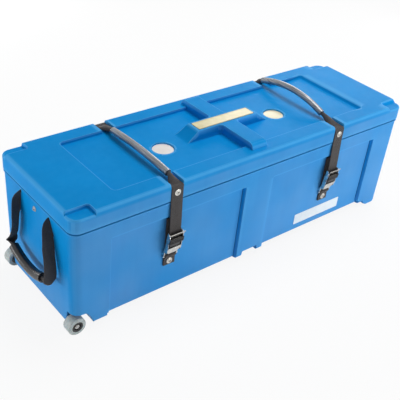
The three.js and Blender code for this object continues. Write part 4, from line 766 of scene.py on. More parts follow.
def lid_shell():
    """The lid as one closed tray, from its top over its sides to its underside."""
    disc_offsets = [s * d for d in (0, 15, 27, 32, 32.7, 33.4, 34.2, 36, 41, 53) for s in (-1, 1)]
    rounded = (-13, -10, -8, -6, -4.5)
    plate_offsets = (-0.6, 0.2, 0.6, 1, 1.4, 1.9)
    bar_offsets = (-4, -3, -2.2, -1.4, -0.7, -0.2, 0.3, 0.9, 1.5, 2.1, 2.8, 4, 6, 8, 10, 12, 14)
    xs = plan_lines(HALF_LENGTH, [
        *both_ends(HALF_LENGTH),
        *both_sides(RECESS_HALF[0], STEP_OFFSETS + rounded),
        *both_sides(CORNER_POCKET[0], STEP_OFFSETS + (5, 6.5, 8)),
        *both_sides(STRAP_X - STRAP_GROOVE_HALF, GROOVE_OFFSETS),
        *both_sides(STRAP_X + STRAP_GROOVE_HALF, GROOVE_OFFSETS),
        *both_sides(BAR_HALF[0], bar_offsets),
        *both_sides(PAD_HALF[0], (-5, -1, 0, 1, 3, 8, 15, 22, 29, 35, 40, 43, 46)),
        *both_sides(PLATE_HALF[0], plate_offsets),
        *[(centre[0], disc_offsets) for centre in DISCS.values()],
    ], 16)
    ys = plan_lines(HALF_WIDTH, [
        *both_ends(HALF_WIDTH),
        *both_sides(RECESS_HALF[1], STEP_OFFSETS + rounded),
        *both_sides(CORNER_POCKET[1], STEP_OFFSETS + (5, 6.5, 8)),
        *both_sides(BAR_HALF[1], (-24, -20, -16, -12, -8, -4, 0, 4, 8, 12, 16, 20, 22, 24)),
        *both_sides(PAD_HALF[1], (-4, -3, -2.2, -1.4, -0.7, 0, 1.4, 2.8, 4.2, 5.6, 7, 9, 11, 14)),
        *both_sides(PLATE_HALF[1], plate_offsets),
        (DISCS["left"][1], disc_offsets),
    ], 16)
    px, py = np.meshgrid(xs, ys, indexing="ij")
    edge = np.minimum(HALF_LENGTH - np.abs(px), HALF_WIDTH - np.abs(py))
    rim = rim_numbers(*px.shape)
    skins = []
    for wall in (0, WALL):
        x, y = ring_round_discs(*plan_place(px, py, wall, CORNER - wall, LID_STRETCH))
        skins.append(np.stack([x, y, lid_height(x, y, edge, wall)], -1))
    outer_edge, inner_edge = (skin.reshape(-1, 3)[rim, 2] for skin in skins)

    def on_rim(_, inset):
        """The rim's places at any height, drawn in by an inset."""
        return plan_place(px.ravel()[rim], py.ravel()[rim], inset, CORNER - inset, LID_STRETCH)

    levels = rings(on_rim, [outer_edge + (372 - outer_edge) * share for share in (0.35, 0.7, 1)])
    levels += rings(on_rim, (358, 347, SEAM_Z + 4))
    for inset, rise in ((0.3, 2.5), (1.1, 1.2), (2.2, 0.3), (3.2, 0), (4, 0), (4.8, 0.4), (WALL, 1.4)):
        levels += rings(on_rim, [SEAM_Z + rise], inset)
    levels += rings(on_rim, [355, *(368 + (inner_edge - 368) * share for share in (0, 0.6))], WALL)
    return tray("lid_shell", skins[0], np.stack(levels), skins[1], 50)


def panel_share(x, z, grow):
    """How far the side is sunk into its panel at a place: 1 on the panel and 0 on the piers."""
    ax = np.abs(x)
    outer = PANEL_SIDES[1] + 14 * np.clip((40 - z) / 22, 0, 1) ** 2
    sides = smoothstep((ax - PANEL_SIDES[0] + 4 + grow) / 4.5) * smoothstep((outer + 4 + grow - ax) / 4.5)
    return sides * (1 - smoothstep((z - PANEL_TOP_Z + 1 - grow) / 5))


def slot_depth(ax, ay, z):
    """How far the end wall is sunk at a slot of its handle: a slanted bar with a soft edge."""
    share = (SLOT_TOP[1] - z) / (SLOT_TOP[1] - SLOT_LOW[1])
    middle = SLOT_TOP[0] + (SLOT_LOW[0] - SLOT_TOP[0]) * np.clip(share, 0, 1)
    beyond = np.clip(np.abs(share - 0.5) - 0.5, 0, None) * (SLOT_TOP[1] - SLOT_LOW[1])
    distance = np.hypot(ay - middle, beyond) - 3.0
    return np.where(ax > HALF_LENGTH - 0.01, 4.2 * step_down(distance, 1.6), 0)


def side_place(px, py, z, wall, radius):
    """A point of the body's side wall: the plan drawn in by the draft, which grows from the seam
    down, and sunk at the panels."""
    x, y = plan_place(px, py, drawn_in(z) + wall, radius, BODY_STRETCH)
    near = smoothstep((np.abs(py) - 110) / 60)
    sunk = PANEL_DEPTH * panel_share(x, z, wall) * near
    if wall == 0:
        x = x - np.sign(px) * slot_depth(np.abs(px), np.abs(y), z)
    return x, y - np.sign(py) * sunk


def body_height(x, y, edge, side_edge, grow):
    """Height of the body's base at a place: flat, raised over the groove and the wheel pockets,
    rounded at its edge, and lowered to the floor at the two feet."""
    ax, ay = np.abs(x), np.abs(y)
    height = BASE_Z + grow + GROOVE_DEPTH * step_down(ax - GROOVE_HALF - grow, 3)
    share = np.clip((x - POCKET_END_X + POCKET_ROUND) / (POCKET_ROUND + grow), 0, 1)
    ceiling = POCKET_TOP_Z + grow - (POCKET_TOP_Z - BASE_Z) * share ** 2
    pocket = np.maximum(x - POCKET_END_X, POCKET_SIDE_Y - ay) - grow
    inside = step_down(pocket, 2.4)
    height = height + (ceiling - height) * inside
    height = height + fillet(edge, EDGE - 5 * inside if grow == 0 else np.full_like(edge, 4.0))
    if grow:
        return height
    sweep = BASE_Z * (np.clip(x - FOOT_SWEEP_X, 0, None) / 34) ** 3.6
    start = BASE_Z * (1 - np.sqrt(np.clip((x - FOOT_START_X) / FOOT_START_RUN, 0, 1)))
    foot = sweep + fillet(side_edge, 3.0) + start
    where = step_down(np.maximum(FOOT_START_X - x, FOOT_SIDE_Y - ay), 2.4)
    return height + (np.minimum(height, foot) - height) * where


def body_shell():
    """The body as one closed tub, from its base over its sides and rim to its inner floor."""
    pocket_offsets = (
        -30, -27, -24, -21, -18, -15.5, -13, -11, -9, -7, -5.2, -3.6, -2.2, -1.1,
        0, 1.1, 2.2, 3.6, 5, 7, 9,
    )
    pier_offsets = (-2, -1, 0, 1, 2, 3, 4, 5, 6.5, 8, 9.5, 11, 12.5, 14, 15.5, 17, 18.5)
    xs = plan_lines(HALF_LENGTH, [
        *both_ends(HALF_LENGTH),
        (POCKET_END_X, pocket_offsets),
        (FOOT_START_X, (-2.5, -1.2, -0.5, 0, 0.4, 1, 2, 3.5, 5.5, 8, 11, 14, 18, 22)),
        (FOOT_SWEEP_X, (0, 6, 12, 16, 20, 23)),
        *both_sides(PANEL_SIDES[0], (-5, -4, -3, -2, -1, 0, 1, 2)),
        *both_sides(PANEL_SIDES[1], pier_offsets),
        *both_sides(GROOVE_HALF, (-2, -1.2, -0.4, 0.4, 1.2, 2, 3.5, 5, 6.5)),
    ], 22)
    ys = plan_lines(HALF_WIDTH, [
        *both_ends(HALF_WIDTH),
        *both_sides(POCKET_SIDE_Y, (-6.5, -5, -3.5, -2, -1.2, -0.4, 0.4, 1.2, 2)),
        *both_sides(FOOT_SIDE_Y, (-2, -1.2, -0.4, 0.4, 1.2, 2)),
        *both_sides(SLOT_MIDDLE_Y, tuple(np.arange(-17, 18, 1.0))),
    ], 22)
    px, py = np.meshgrid(xs, ys, indexing="ij")
    edge_x, edge_y = HALF_LENGTH - np.abs(px), HALF_WIDTH - np.abs(py)
    rim = rim_numbers(*px.shape)
    skins = []
    for wall, z in ((0, BASE_Z + 6), (WALL, BASE_Z + 10)):
        x, y = side_place(px, py, z, wall, CORNER - wall)
        height = body_height(x, y, np.minimum(edge_x, edge_y), edge_y, wall)
        skins.append(np.stack([x, y, height], -1))
    low, floor = (skin.reshape(-1, 3)[rim, 2] for skin in skins)

    def on_side(z, wall):
        """The rim's places on the outer or inner side of the wall at a height."""
        return side_place(px.ravel()[rim], py.ravel()[rim], z, wall, CORNER - wall)

    def on_rim(_, inset):
        """The rim's places at any height, drawn in by an inset."""
        return plan_place(px.ravel()[rim], py.ravel()[rim], inset, CORNER - inset, BODY_STRETCH)

    panel_heights = (120, 180, 240, 270, 277, 279.5, 281, 282.5, 284, 285.5, 287, 288, 289, 290)
    levels = rings(on_side, [low + (76.0 - low) * share for share in (0.1, 0.25, 0.45, 0.7, 1.0)])
    levels += rings(on_side, [*panel_heights, *np.arange(292.5, 331.0, 2.5), 334.6])
    for inset, level in (
        (0.9, 335), (0.6, 335.5), (0.7, 336), (1.3, 336.8), (2.6, 337.4), (4.5, 337.8), (6, 338),
        (6, 345), (6, 350.6), (6.4, 351.6), (7.2, 352), (8.4, 352), (9.2, 351.6), (9.5, 350.6),
        (9.5, 343), (9.5, 335),
    ):
        levels += rings(on_rim, [level], inset)
    inner_heights = (330, 318, 300, 297, 295.5, 294, 293, 292, 291, 290, 289, 270, 180, 100)
    above_floor = [84 + (floor - 84) * share for share in (0.4, 0.75, 0.92)]
    levels += rings(on_side, [*inner_heights, *above_floor], WALL)
    return tray("body_shell", skins[0], np.stack(levels), skins[1], 50)


ready(lid_shell(), "lid_body", "shell", "lid")
ready(body_shell(), "case", "shell", "case_body")


# Plate, discs and label

def rounded_plate(name, half_x, half_y, corner, profile, material, centre=(0, 0)):
    """A thin plate with rounded corners: its outline is repeated at each inset and height of a
    profile, and a flat face closes it above and below."""
    angle = np.linspace(0, math.pi / 2, 9)
    rings = []
    for inset, z in profile:
        radius = max(corner - inset, 0.3)
        reach = np.array((half_x, half_y)) - inset - radius
        parts = []
        for k, signs in enumerate(((1, 1), (-1, 1), (-1, -1), (1, -1))):
            turn = angle + k * math.pi / 2
            parts.append(reach * signs + radius * np.column_stack([np.cos(turn), np.sin(turn)]))
        outline = np.vstack(parts)
        rings.append(np.column_stack([outline + centre, np.full(len(outline), z)]))
    return surface(name, np.stack(rings), material, sharp=30)


def add_plates():
    """The plate and the discs in their seats, and the label turned up on to its slanted panel."""
    low = 414.1
    profile = ((0, low), (0, low + 1.1), (0.5, low + 1.55), (2.2, low + 1.6), (2.7, low + 1.2))
    half_x, half_y = PLATE_HALF[0] - 0.8, PLATE_HALF[1] - 0.8
    ready(rounded_plate("name_plate", half_x, half_y, 4, profile, PLATE), "lid_body", "plate", "nameplate")
    profile = soften(((-1.6, 0), (-1.6, DISC_RADIUS), (0, DISC_RADIUS), (0, 0)), 0.7)
    for side, material in (("left", DISC_WHITE), ("right", DISC_CREAM)):
        centre = np.array((*DISCS[side], DISC_TOP_Z))
        disc = lathe(f"let_in_disc_{side}", profile, centre, (0, 0, 1), material, 64)
        ready(disc, "lid_body", "disc", f"disc_{side}")
    profile = ((0, 0), (0, 0.4), (0.3, 0.7), (0.8, 0.8))
    label = rounded_plate("blank_label", 107, 19.5, 3, profile, LABEL, (LABEL_X, 0))
    flat = np.array([vertex.co for vertex in label.data.vertices]) / MM
    z = LABEL_Z + flat[:, 1] - CENTRE_Y / MM
    place = np.column_stack([flat[:, 0], -panel_face(z) - 0.3 - flat[:, 2], z]) * MM + (0, CENTRE_Y, 0)
    label.data.vertices.foreach_set("co", place.ravel())
    label.data.update()
    ready(label, "case", "label", "front_label")


add_plates()


# Webbing

def strip_section(count=21, edge=5):
    """Round a strip of webbing: place across it, then how much of half the thickness goes along
    and off it, and the distance round it."""
    across = np.linspace(0.5, -0.5, count)
    turn = np.linspace(0, math.pi, edge + 2)[1:-1]
    place = np.concatenate([across, np.full(edge, -0.5), across[::-1], np.full(edge, 0.5)])
    aside = np.concatenate([np.zeros(count), -np.sin(turn), np.zeros(count), np.sin(turn)])
    off = np.concatenate([np.ones(count), np.cos(turn), -np.ones(count), -np.cos(turn)])
    flat = np.column_stack([place * WEBBING_WIDTH + aside * WEBBING_HALF, off * WEBBING_HALF])
    return place, aside, off, distances(np.vstack([flat, flat[:1]]))


def webbing(name, path, across, curl=0.0, width=WEBBING_WIDTH, flip=1, begun=0.0):
    """A strip carried along a path. Across it the middle line is an arc whose angle grows with the
    curl, so sin(t)/t of the width goes sideways and the rest goes round, until the strip forms a
    tube; its two faces lie half its thickness either side of that line."""
    place, aside, off, round_it = strip_section()
    across = np.broadcast_to(np.asarray(across, float), path.shape)
    ahead = unit(np.gradient(path, axis=0))
    across = unit(across - (across * ahead).sum(axis=1)[:, None] * ahead)
    out = flip * directions(path, across)
    curl = np.broadcast_to(np.asarray(curl, float), len(path))[:, None]
    width = np.broadcast_to(np.asarray(width, float), len(path))[:, None] * (1 - 0.2 * curl)
    turn = curl * FULL_CURL * place
    side = width * place * np.sinc(turn / math.pi)
    drop = width * place * (turn / 2) * np.sinc(turn / 2 / math.pi) ** 2
    quarter = curl * FULL_CURL / 4
    depth = width / 2 * quarter * np.sinc(quarter / math.pi) ** 2
    rise = depth + (CURLED_RISE - depth) * smoothstep(curl)
    sideways = side + WEBBING_HALF * (aside * np.cos(turn) + off * np.sin(turn))
    outward = rise - drop + WEBBING_HALF * (off * np.cos(turn) - aside * np.sin(turn))
    points = path[:, None] + sideways[..., None] * across[:, None] + outward[..., None] * out[:, None]
    u, v = np.meshgrid(round_it * MM, (begun + distances(path)) * MM)
    return surface(name, points, WEBBING, np.stack([u, v], -1), sharp=60)


def carry_path(side, front, back, arch):
    """The quadratic curve of a carrying tube, from its front end to its back end."""
    places = (front, TUBE_END_Z), ((front + back) / 2, TUBE_END_Z + 2 * arch), (back, TUBE_END_Z)
    points = [np.array((side * STRAP_X, y, z)) for y, z in places]
    return bent(*points, np.linspace(0, 1, 81)[:, None])


def hose(name, path, material, radius=TUBE_RADIUS, bore=TUBE_BORE):
    """A thick hose along a path: its outer and inner walls and its two round lips, as one ring of
    circles set at right angles to the path."""
    along = distances(path)
    total = along[-1]
    walls = np.linspace(2, total - 2, 56)
    corners = [(2, radius), (0, radius), (0, bore), (2, bore)]
    lip = soften(corners, (radius - bore) / 2, 5)[1:-1]
    far = np.column_stack([total - lip[::-1, 0], lip[::-1, 1]])
    outer = np.column_stack([walls, np.full_like(walls, radius)])
    inner = np.column_stack([walls[::-1], np.full_like(walls, bore)])
    profile = np.vstack([outer, far[::-1], inner, lip[::-1]])
    middle = np.stack([np.interp(profile[:, 0], along, column) for column in path.T], -1)
    slope = np.gradient(path, along, axis=0)
    ahead = unit(np.stack([np.interp(profile[:, 0], along, column) for column in slope.T], -1))
    flat = unit(np.cross(path[-1] - path[0], (0, 0, 1.0)))
    round_it = circle(flat, np.cross(flat, ahead)[:, None], 32)
    return surface(name, middle[:, None] + profile[:, 1, None, None] * round_it, material, ring=True)


def core(name, path, radius=6.2):
    """The rolled webbing inside a hose."""
    path = path[6:-6]
    across = unit(np.cross(path[-1] - path[0], (0, 0, 1.0)))
    points = path[:, None] + radius * circle(across, directions(path, across)[:, None], 20)
    u, v = np.meshgrid(np.linspace(0, 0.038, 21), np.linspace(0, 0.2, len(path)))
    return surface(name, points, WEBBING, np.stack([u, v], -1))


def top_strap(name, side, front, back, arch):
    """Webbing over the lid on either side of a carrying tube, and the rolled core inside the tube."""
    x = side * STRAP_X
    path = carry_path(side, front, back, arch)
    node, handle = f"strap_top_{name}", f"carry_handle_{name}"
    for end, sign, tube_y, inside, low_z in (
        ("front", -1, front, path[:8], STRAP_JOIN_Z), ("back", 1, back, path[::-1][:8], LID_RIVET_Z),
    ):
        reach = min(GATHER_LENGTH, 190.0 - abs(tube_y))
        gather_y = tube_y + sign * reach
        face_y = sign * LID_FACE_Y
        flat = soften(((x, face_y, low_z), (x, face_y, STRAP_TOP_Z), (x, gather_y, STRAP_TOP_Z)), 5.5, 12)
        share = np.linspace(0, 1, 25)[1:-1, None]
        ramp = flat[-1] + (inside[0] - flat[-1]) * np.column_stack([share, share, smoothstep(share)])
        whole = evenly(np.vstack([flat, ramp, inside]), 2.0)
        curl = np.clip((reach - 1 - sign * (whole[:, 1] - tube_y)) / (reach - 4), 0, 1)
        band = webbing(f"strap_over_lid_{end}_{name}", whole, (1.0, 0, 0), curl, flip=-sign)
        start, stop = (x, gather_y, STRAP_TOP_Z), (x, tube_y, STRAP_TOP_Z)
        between_bodies(band, "lid_body", handle, start, stop, node)
    ready(core(f"strap_core_{name}", path), handle, "webbing", node)
    ready(hose(f"carrying_hose_{name}", path, HOSE), handle, "tube", f"carry_tube_{name}")


def front_strap(name, x):
    """From the lid down through the buckle, round the lower edge of its plate and up behind it."""
    behind_y = -panel_face(278) - 4.0
    corners = [
        (x, -LID_FACE_Y, STRAP_JOIN_Z), (x, -LID_FACE_Y, SEAM_Z),
        *place_at(((0, 87.5, 2.25), (0, 11, 2.25), (0, 11, -2.25), (0, 15, -2.25)), x),
        (x, behind_y, place_at((0, 40, 0), x)[2]), (x, behind_y, 278.0),
    ]
    path = evenly(soften(corners, 2.25, 6), 2.0)
    band = webbing(f"strap_to_buckle_{name}", path, (1.0, 0, 0), begun=60)
    start, stop = (x, -LID_FACE_Y, STRAP_JOIN_Z), (x, -LID_FACE_Y, SEAM_Z)
    between_bodies(band, "lid_body", f"front_strap_{name}", start, stop, f"strap_front_{name}")


def hinge_strap(name, x):
    """Down the back of the lid, over the seam and on to the back of the body."""
    body_y = HALF_WIDTH - drawn_in(HINGE_RIVET_Z) + 1.5
    corners = [(x, LID_FACE_Y, LID_RIVET_Z), (x, LID_FACE_Y, 330), (x, body_y, 320), (x, body_y, 294)]
    path = evenly(soften(corners, 8, 6), 2.0)
    band = webbing(f"hinge_webbing_{name}", path, (1.0, 0, 0), flip=-1)
    start, stop = (x, LID_FACE_Y, SEAM_Z - 4), (x, LID_FACE_Y, SEAM_Z + 4)
    between_bodies(band, "case", "lid_body", start, stop, f"strap_hinge_{name}", f"strap_top_{name}")


def anchor_loop(name, x):
    """The loop that ties the buckle's bar to the panel, with both ends under one rivet."""
    inner = -panel_face(BAR_PLACE[1]) - 1.5
    outer = inner - 2.7
    bar_y, bar_z = BAR_PLACE
    corners = [
        (x, inner, 111.0), (x, inner, 134.6), (x, bar_y + 4, bar_z - 2), (x, bar_y + 4, bar_z + 4),
        (x, bar_y - 4, bar_z + 4), (x, bar_y - 4, bar_z - 2.5), (x, outer, 134.6), (x, outer, 111.0),
    ]
    path = evenly(soften(corners, 3.9, 8), 1.2)
    ready(webbing(f"anchor_loop_{name}", path, (1.0, 0, 0)), "case", "webbing", f"anchor_webbing_{name}")


for side_name, (sign, front_y, back_y, arch_mm) in TUBES.items():
    top_strap(side_name, sign, front_y, back_y, arch_mm)
    front_strap(side_name, sign * STRAP_X)
    hinge_strap(side_name, sign * STRAP_X)
    anchor_loop(side_name, sign * STRAP_X)


# End handles

def grip_path(end):
    """The hanging curve of an end grip."""
    places = (-GRIP_HALF, GRIP_Z), (0, GRIP_Z - 2 * GRIP_SAG), (GRIP_HALF, GRIP_Z)
    points = [np.array((end * (END_WALL_X + GRIP_OUT), y, z)) for y, z in places]
    return bent(*points, np.linspace(0, 1, 61)[:, None])


def handle_side(name, end, side):
    """Webbing from a slot of the end wall down to the grip. Rows give the distances of its two edges
    from the wall, its height, and its place across at the front and at the back, where it hangs
    straighter; a smooth line through them gives the strip."""
    rows = np.array((
        (-8.0, 2.0, 325.0, 76.5, 76.5), (-8.0, 11.0, 319.0, 79.0, 77.5), (-8.0, 20.0, 311.0, 83.0, 79.0),
        (-8.0, 26.0, 300.0, 88.5, 80.0), (-7.0, 29.5, 288.0, 94.0, 80.0), (-3.5, 33.5, 273.0, 99.5, 79.0),
        (0.0, 38.0, 254.0, 104.0, 78.5), (1.5, 39.5, 232.0, 110.0, 80.0), (2.5, 40.5, 205.0, 115.0, 85.0),
        (4.5, 42.5, 178.0, 119.0, 94.0), (7.0, 45.0, 163.0, 120.5, 102.0),
    ))
    if side > 0:
        rows[-5:, 1] -= (1.0, 2.0, 3.0, 4.5, 5.0)
    near, far, height, front_place, back_place = rows.T
    place, lean = (back_place, 2.6 * HANDLE_LEAN) if side > 0 else (front_place, HANDLE_LEAN)
    middle = np.column_stack([end * (END_WALL_X + (near + far) / 2), side * place, height])
    grip = grip_path(end)
    tip = grip[::-1] if side > 0 else grip
    t = np.linspace(0, 1, 17)[1:, None]
    control = np.array(((middle[-1, 0] + tip[0, 0]) / 2, side * (place[-1] + 1), GRIP_Z))
    whole = np.vstack([middle, bent(middle[-1], control, tip[0], t), tip[1:7]])
    widths = np.concatenate([far - near, np.full(len(whole) - len(rows), WEBBING_WIDTH)])
    curl = np.concatenate([np.zeros(len(middle)), smoothstep(t[:, 0] * 1.15), np.ones(6)])
    stacked = evenly(np.column_stack([whole, widths, curl]), 2.2)
    for _ in range(3):
        stacked[1:-1] = (stacked[:-2] + 2 * stacked[1:-1] + stacked[2:]) / 4
    turned = np.sin(math.pi * np.clip((304 - stacked[:, 2]) / (304 - GRIP_Z), 0, 1))
    across = np.column_stack([np.full(len(stacked), float(end)), -lean * turned, np.zeros(len(stacked))])
    piece_name = f"handle_webbing_{'front' if side < 0 else 'back'}_{name}"
    band = webbing(piece_name, stacked[:, :3], across, stacked[:, 4], stacked[:, 3], side * end)
    start, stop = (end * 634.0, 0, 300), (end * 656.0, 0, 300)
    between_bodies(band, "case", f"end_handle_{name}", start, stop, f"end_webbing_{name}")


def end_handle(name, end):
    """The two strips, the grip over them, and the flat span of webbing inside the end wall."""
    for side in (-1, 1):
        handle_side(name, end, side)
    path, body, node = grip_path(end), f"end_handle_{name}", f"end_webbing_{name}"
    ready(core(f"handle_core_{name}", path), body, "webbing", node)
    ready(hose(f"grip_hose_{name}", path, RUBBER, GRIP_RADIUS), body, "grip", f"end_grip_{name}")
    x = end * (END_WALL_X - WALL - 2.5)
    span_line = evenly(np.array(((x, -88.0, 304.0), (x, 88.0, 304.0))), 3)
    ready(webbing(f"inner_span_{name}", span_line, (0, 0, 1.0)), "case", "webbing", node)


end_handle("left", -1)
end_handle("right", 1)


# Rivets, pins, springs and wheels

def rivet(name, centre, axis, grip, washer, node, body, dome, material):
    """A blind rivet on its washer: flat ring, round dome with a hollow middle, shank and tail."""
    corners = (
        (-grip - 2.5, 0), (-grip - 2.5, 5), (-grip, 5), (-grip, 3.2), (0, 3.2), (0, washer), (1.2, washer),
        (1.25, dome + 0.2), (2.9, dome), (4.2, dome * 0.8), (4.2, dome * 0.56), (-6, dome * 0.5), (-6, 0),
    )
    ready(lathe(name, soften(corners, 0.9, 4), centre, axis, material), body, "steel", node)


def bevelled(name, node, body, width, material, slot):
    """A merged copy of a CAD node with its flat faces joined and its edges rounded."""
    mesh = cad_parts[node].data.copy()
    mesh.name = name
    shape = bmesh.new()
    shape.from_mesh(mesh)
    bmesh.ops.remove_doubles(shape, verts=shape.verts, dist=1e-6)
    bmesh.ops.dissolve_limit(
        shape, angle_limit=math.radians(1.5), verts=shape.verts, edges=shape.edges,
    )
    shape.to_mesh(mesh)
    shape.free()
    mesh.materials.clear()
    mesh.materials.append(material)
    mesh.shade_smooth()
    mesh.set_sharp_from_angle(angle=math.radians(35))
    piece = bpy.data.objects.new(name, mesh)
    bpy.context.collection.objects.link(piece)
    edge = piece.modifiers.new("rounded_edges", "BEVEL")
    edge.width = width * MM
    edge.segments = 2
    edge.limit_method = "ANGLE"
    edge.angle_limit = math.radians(35)
    ready(piece, body, slot, node)


def add_rivets():
    """The rivets of both straps, both end handles and both axle plates."""
    for name, (side, *_) in TUBES.items():
        x = side * STRAP_X
        lid_y = LID_FACE_Y + 1.5
        hinge_y = HALF_WIDTH - drawn_in(HINGE_RIVET_Z) + 3.0
        anchor_y = panel_face(BAR_PLACE[1]) + 5.7
        end_x = side * (HALF_LENGTH - drawn_in(END_RIVET_Z) + 0.3)
        for piece, node, centre, axis, grip in (
            ("lid_rivet_front", "lid_front", (x, -lid_y, LID_RIVET_Z), (0, -1, 0), 8.3),
            ("lid_rivet_back", "lid_back", (x, lid_y, LID_RIVET_Z), (0, 1, 0), 8.3),
            ("hinge_rivet", "hinge", (x, hinge_y, HINGE_RIVET_Z), (0, 1, 0), 8.3),
            ("anchor_rivet", "anchor", (x, -anchor_y, ANCHOR_RIVET_Z), (0, -1, 0), 11),
        ):
            body = "lid_body" if piece.startswith("lid") else "case"
            rivet(f"{piece}_{name}", centre, axis, grip, 10, f"rivet_{node}_{name}", body, 5.5, NICKEL)
        centre, node = (end_x, 0, END_RIVET_Z), f"rivet_end_{name}"
        rivet(f"end_rivet_{name}", centre, (side, 0, 0), 9.6, 8, node, "case", 5.5, ZINC)
    for name, side in (("front", -1), ("back", 1)):
        for place, x in (("outer", -628.5), ("inner", -601.5)):
            centre, node = (x, side * 154.6, 54), f"rivet_axle_{name}_{place}"
            rivet(f"axle_rivet_{name}_{place}", centre, (0, side, 0), 8.9, 5, node, "case", 4.0, NICKEL)


def spring(name, x):
    """A torsion spring: round wire on a helix about the pin, with a ring of points about each place."""
    turns, coil, wire, first, last = 3, 3.6, 0.6, 15.2, 20.7
    t = np.linspace(0, 1, 36 * turns + 1)
    turn = t * turns * 2 * math.pi
    outward = np.column_stack([np.zeros_like(t), np.cos(turn), np.sin(turn)])
    line = np.column_stack([first + (last - first) * t, *np.outer(PIN_PLACE, np.ones(len(t)))])
    line += coil * outward
    beside = np.cross(unit(np.gradient(line, axis=0)), outward)
    points = line[:, None] + wire * circle(outward[:, None], beside[:, None], 10)
    piece = surface(f"lever_spring_{name}", place_at(points, x), SPRING_STEEL)
    ready(piece, f"buckle_{name}", "spring_steel", f"buckle_spring_{name}")


def add_buckles():
    """The frame, the lever, the spring and the headed pin of each buckle."""
    half_pin = ((25.5, 0), (25.5, 3.2), (24.3, 3.2), (24.3, 2))
    pin = soften([(-along, radius) for along, radius in half_pin] + list(half_pin[::-1]), 0.5, 3)
    for name, (side, *_) in TUBES.items():
        x = side * STRAP_X
        bevelled(f"pressed_buckle_{name}", f"buckle_frame_{name}", f"buckle_{name}", 0.35, NICKEL, "steel")
        bevelled(f"ribbed_lever_{name}", f"cam_lever_{name}", f"cam_{name}", 0.3, NYLON, "grip")
        spring(name, x)
        piece = lathe(f"lever_pin_{name}", pin, place_at((0, *PIN_PLACE), x), (1, 0, 0), ZINC, 28)
        ready(piece, f"buckle_{name}", "steel", f"buckle_pin_{name}")


def add_wheels():
    """Each wheel's tyre, hub and bearing as rings, with the plate and the nut of its axle."""
    tread = soften(((33, 16.8), (33, 24.5), (30.5, 27), (2.5, 27), (0, 24.5), (0, 16.8)), 2.2, 6)
    tyre = np.vstack([tread, np.column_stack([np.linspace(0, 33, 8)[1:-1], np.full(6, 16.8)])])
    hub = soften((
        (32, 9), (32, 16.5), (1, 16.5), (1, 15), (2.2, 14), (2.2, 11.3), (13.3, 11.3), (13.3, 9),
    ), 0.5, 4, closed=True)
    bearing = soften((
        (13, 4.3), (13, 11), (6, 11), (6, 10), (6.8, 9.6), (6.8, 7.4), (6, 7), (6, 4.3),
    ), 0.3, 3, closed=True)
    for name, side in (("front", -1), ("back", 1)):
        centre = (WHEEL_X, side * WHEEL_FACE_Y, WHEEL_Z)
        for piece, node, profile, material, count, slot in (
            ("cast_tyre", "tyre", tyre, URETHANE, 72, "tyre"),
            ("nylon_hub", "hub", hub, NYLON, 48, "hub"),
            ("ball_bearing", "bearing", bearing, SPRING_STEEL, 48, "spring_steel"),
        ):
            ring = lathe(f"{piece}_{name}", profile, centre, (0, -side, 0), material, count, True)
            ready(ring, f"wheel_{name}", slot, f"wheel_{node}_{name}")
        bevelled(f"axle_plate_{name}", f"axle_{name}", "case", 0.4, ZINC, "steel")
        bevelled(f"hexagon_nut_{name}", f"axle_nut_{name}", "case", 0.5, NICKEL, "steel")


add_rivets()
add_buckles()
add_wheels()


# Floor, background and light

def seen_by_camera(tree):
    """1 for what the camera sees, also in a reflection or through something clear, and else 0."""
    path = add_node(tree, "LightPath")
    seen = path.outputs["Is Camera Ray"]
    for ray in ("Is Glossy Ray", "Is Transmission Ray"):
        seen = add_node(tree, "Math", {0: seen, 1: path.outputs[ray]}, operation="MAXIMUM")
    return seen


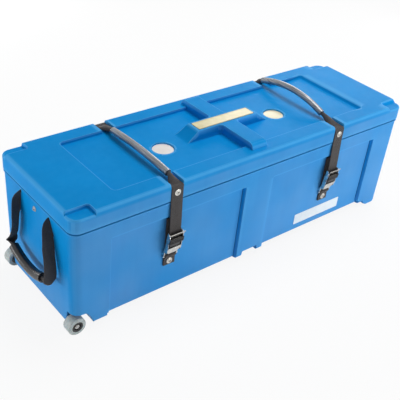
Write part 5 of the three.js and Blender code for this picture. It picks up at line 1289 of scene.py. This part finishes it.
def add_floor(reach=14.0, glow=0.9):
    """A wide plain floor that looks white to the camera and keeps the shadow of the case: a share
    of it glows for what the camera sees, and the rest takes the light."""
    mesh = bpy.data.meshes.new("floor")
    corners = [(x * reach, y * reach, 0) for x, y in ((-1, -1), (1, -1), (1, 1), (-1, 1))]
    mesh.from_pydata(corners, [], [(0, 1, 2, 3)])
    material, tree, _ = new_material("white_paper_floor")
    paper = add_node(tree, "BsdfDiffuse", {"Color": linear("#f4f5f6")})
    white = add_node(tree, "Emission", {"Color": (1, 1, 1, 1), "Strength": 1.0})
    share = add_node(tree, "Math", {0: seen_by_camera(tree), 1: glow}, operation="MULTIPLY")
    mixed = add_node(tree, "MixShader", {0: share, 1: paper, 2: white})
    add_node(tree, "OutputMaterial", {"Surface": mixed})
    mesh.materials.append(material)
    floor = bpy.data.objects.new("floor", mesh)
    bpy.context.collection.objects.link(floor)


def add_world(shed=0.24):
    """White to the camera and in reflections, and a softer level for the light that it sheds."""
    world = bpy.data.worlds.new("studio")
    bpy.context.scene.world = world
    world.use_nodes = True
    tree = world.node_tree
    tree.nodes.clear()
    level = add_node(tree, "MapRange", span(seen_by_camera(tree), 0, 1, shed, 1))
    sky = add_node(tree, "Background", {"Color": (1, 1, 1, 1), "Strength": level})
    add_node(tree, "OutputWorld", {"Surface": sky})


def add_lamp(name, place, target, size, power):
    """A soft box that points from its place to a target, with its two sizes in metres."""
    lamp = bpy.data.lights.new(name, "AREA")
    lamp.shape = "RECTANGLE"
    lamp.size, lamp.size_y = size
    lamp.energy = power
    holder = bpy.data.objects.new(name, lamp)
    holder.location = place
    holder.rotation_mode = "QUATERNION"
    holder.rotation_quaternion = (Vector(target) - Vector(place)).to_track_quat("-Z", "Y")
    bpy.context.collection.objects.link(holder)


add_floor()
add_world()
for name, place, target, size, power in (
    ("upper_box", (0.9, 0.2, 3.4), (0, 0, 0.35), (1.8, 1.8), 67),
    ("rear_right_box", (2.7, 1.9, 1.75), (0.2, 0, 0.35), (1.5, 1.0), 17),
    ("low_front_box", (1.5, -2.6, 0.28), (0, 0, 0.18), (2.8, 0.45), 45),
    ("low_left_box", (-2.6, 0.6, 0.28), (-0.6, 0, 0.18), (1.6, 0.45), 22),
    ("low_right_box", (2.6, 0.3, 0.2), (0.6, 0, 0.18), (1.0, 0.4), 12),
    ("low_back_box", (-0.3, 2.5, 0.2), (0, 0, 0.18), (1.8, 0.4), 20),
):
    add_lamp(name, place, target, size, power)

bpy.context.scene.view_settings.view_transform = "Standard"
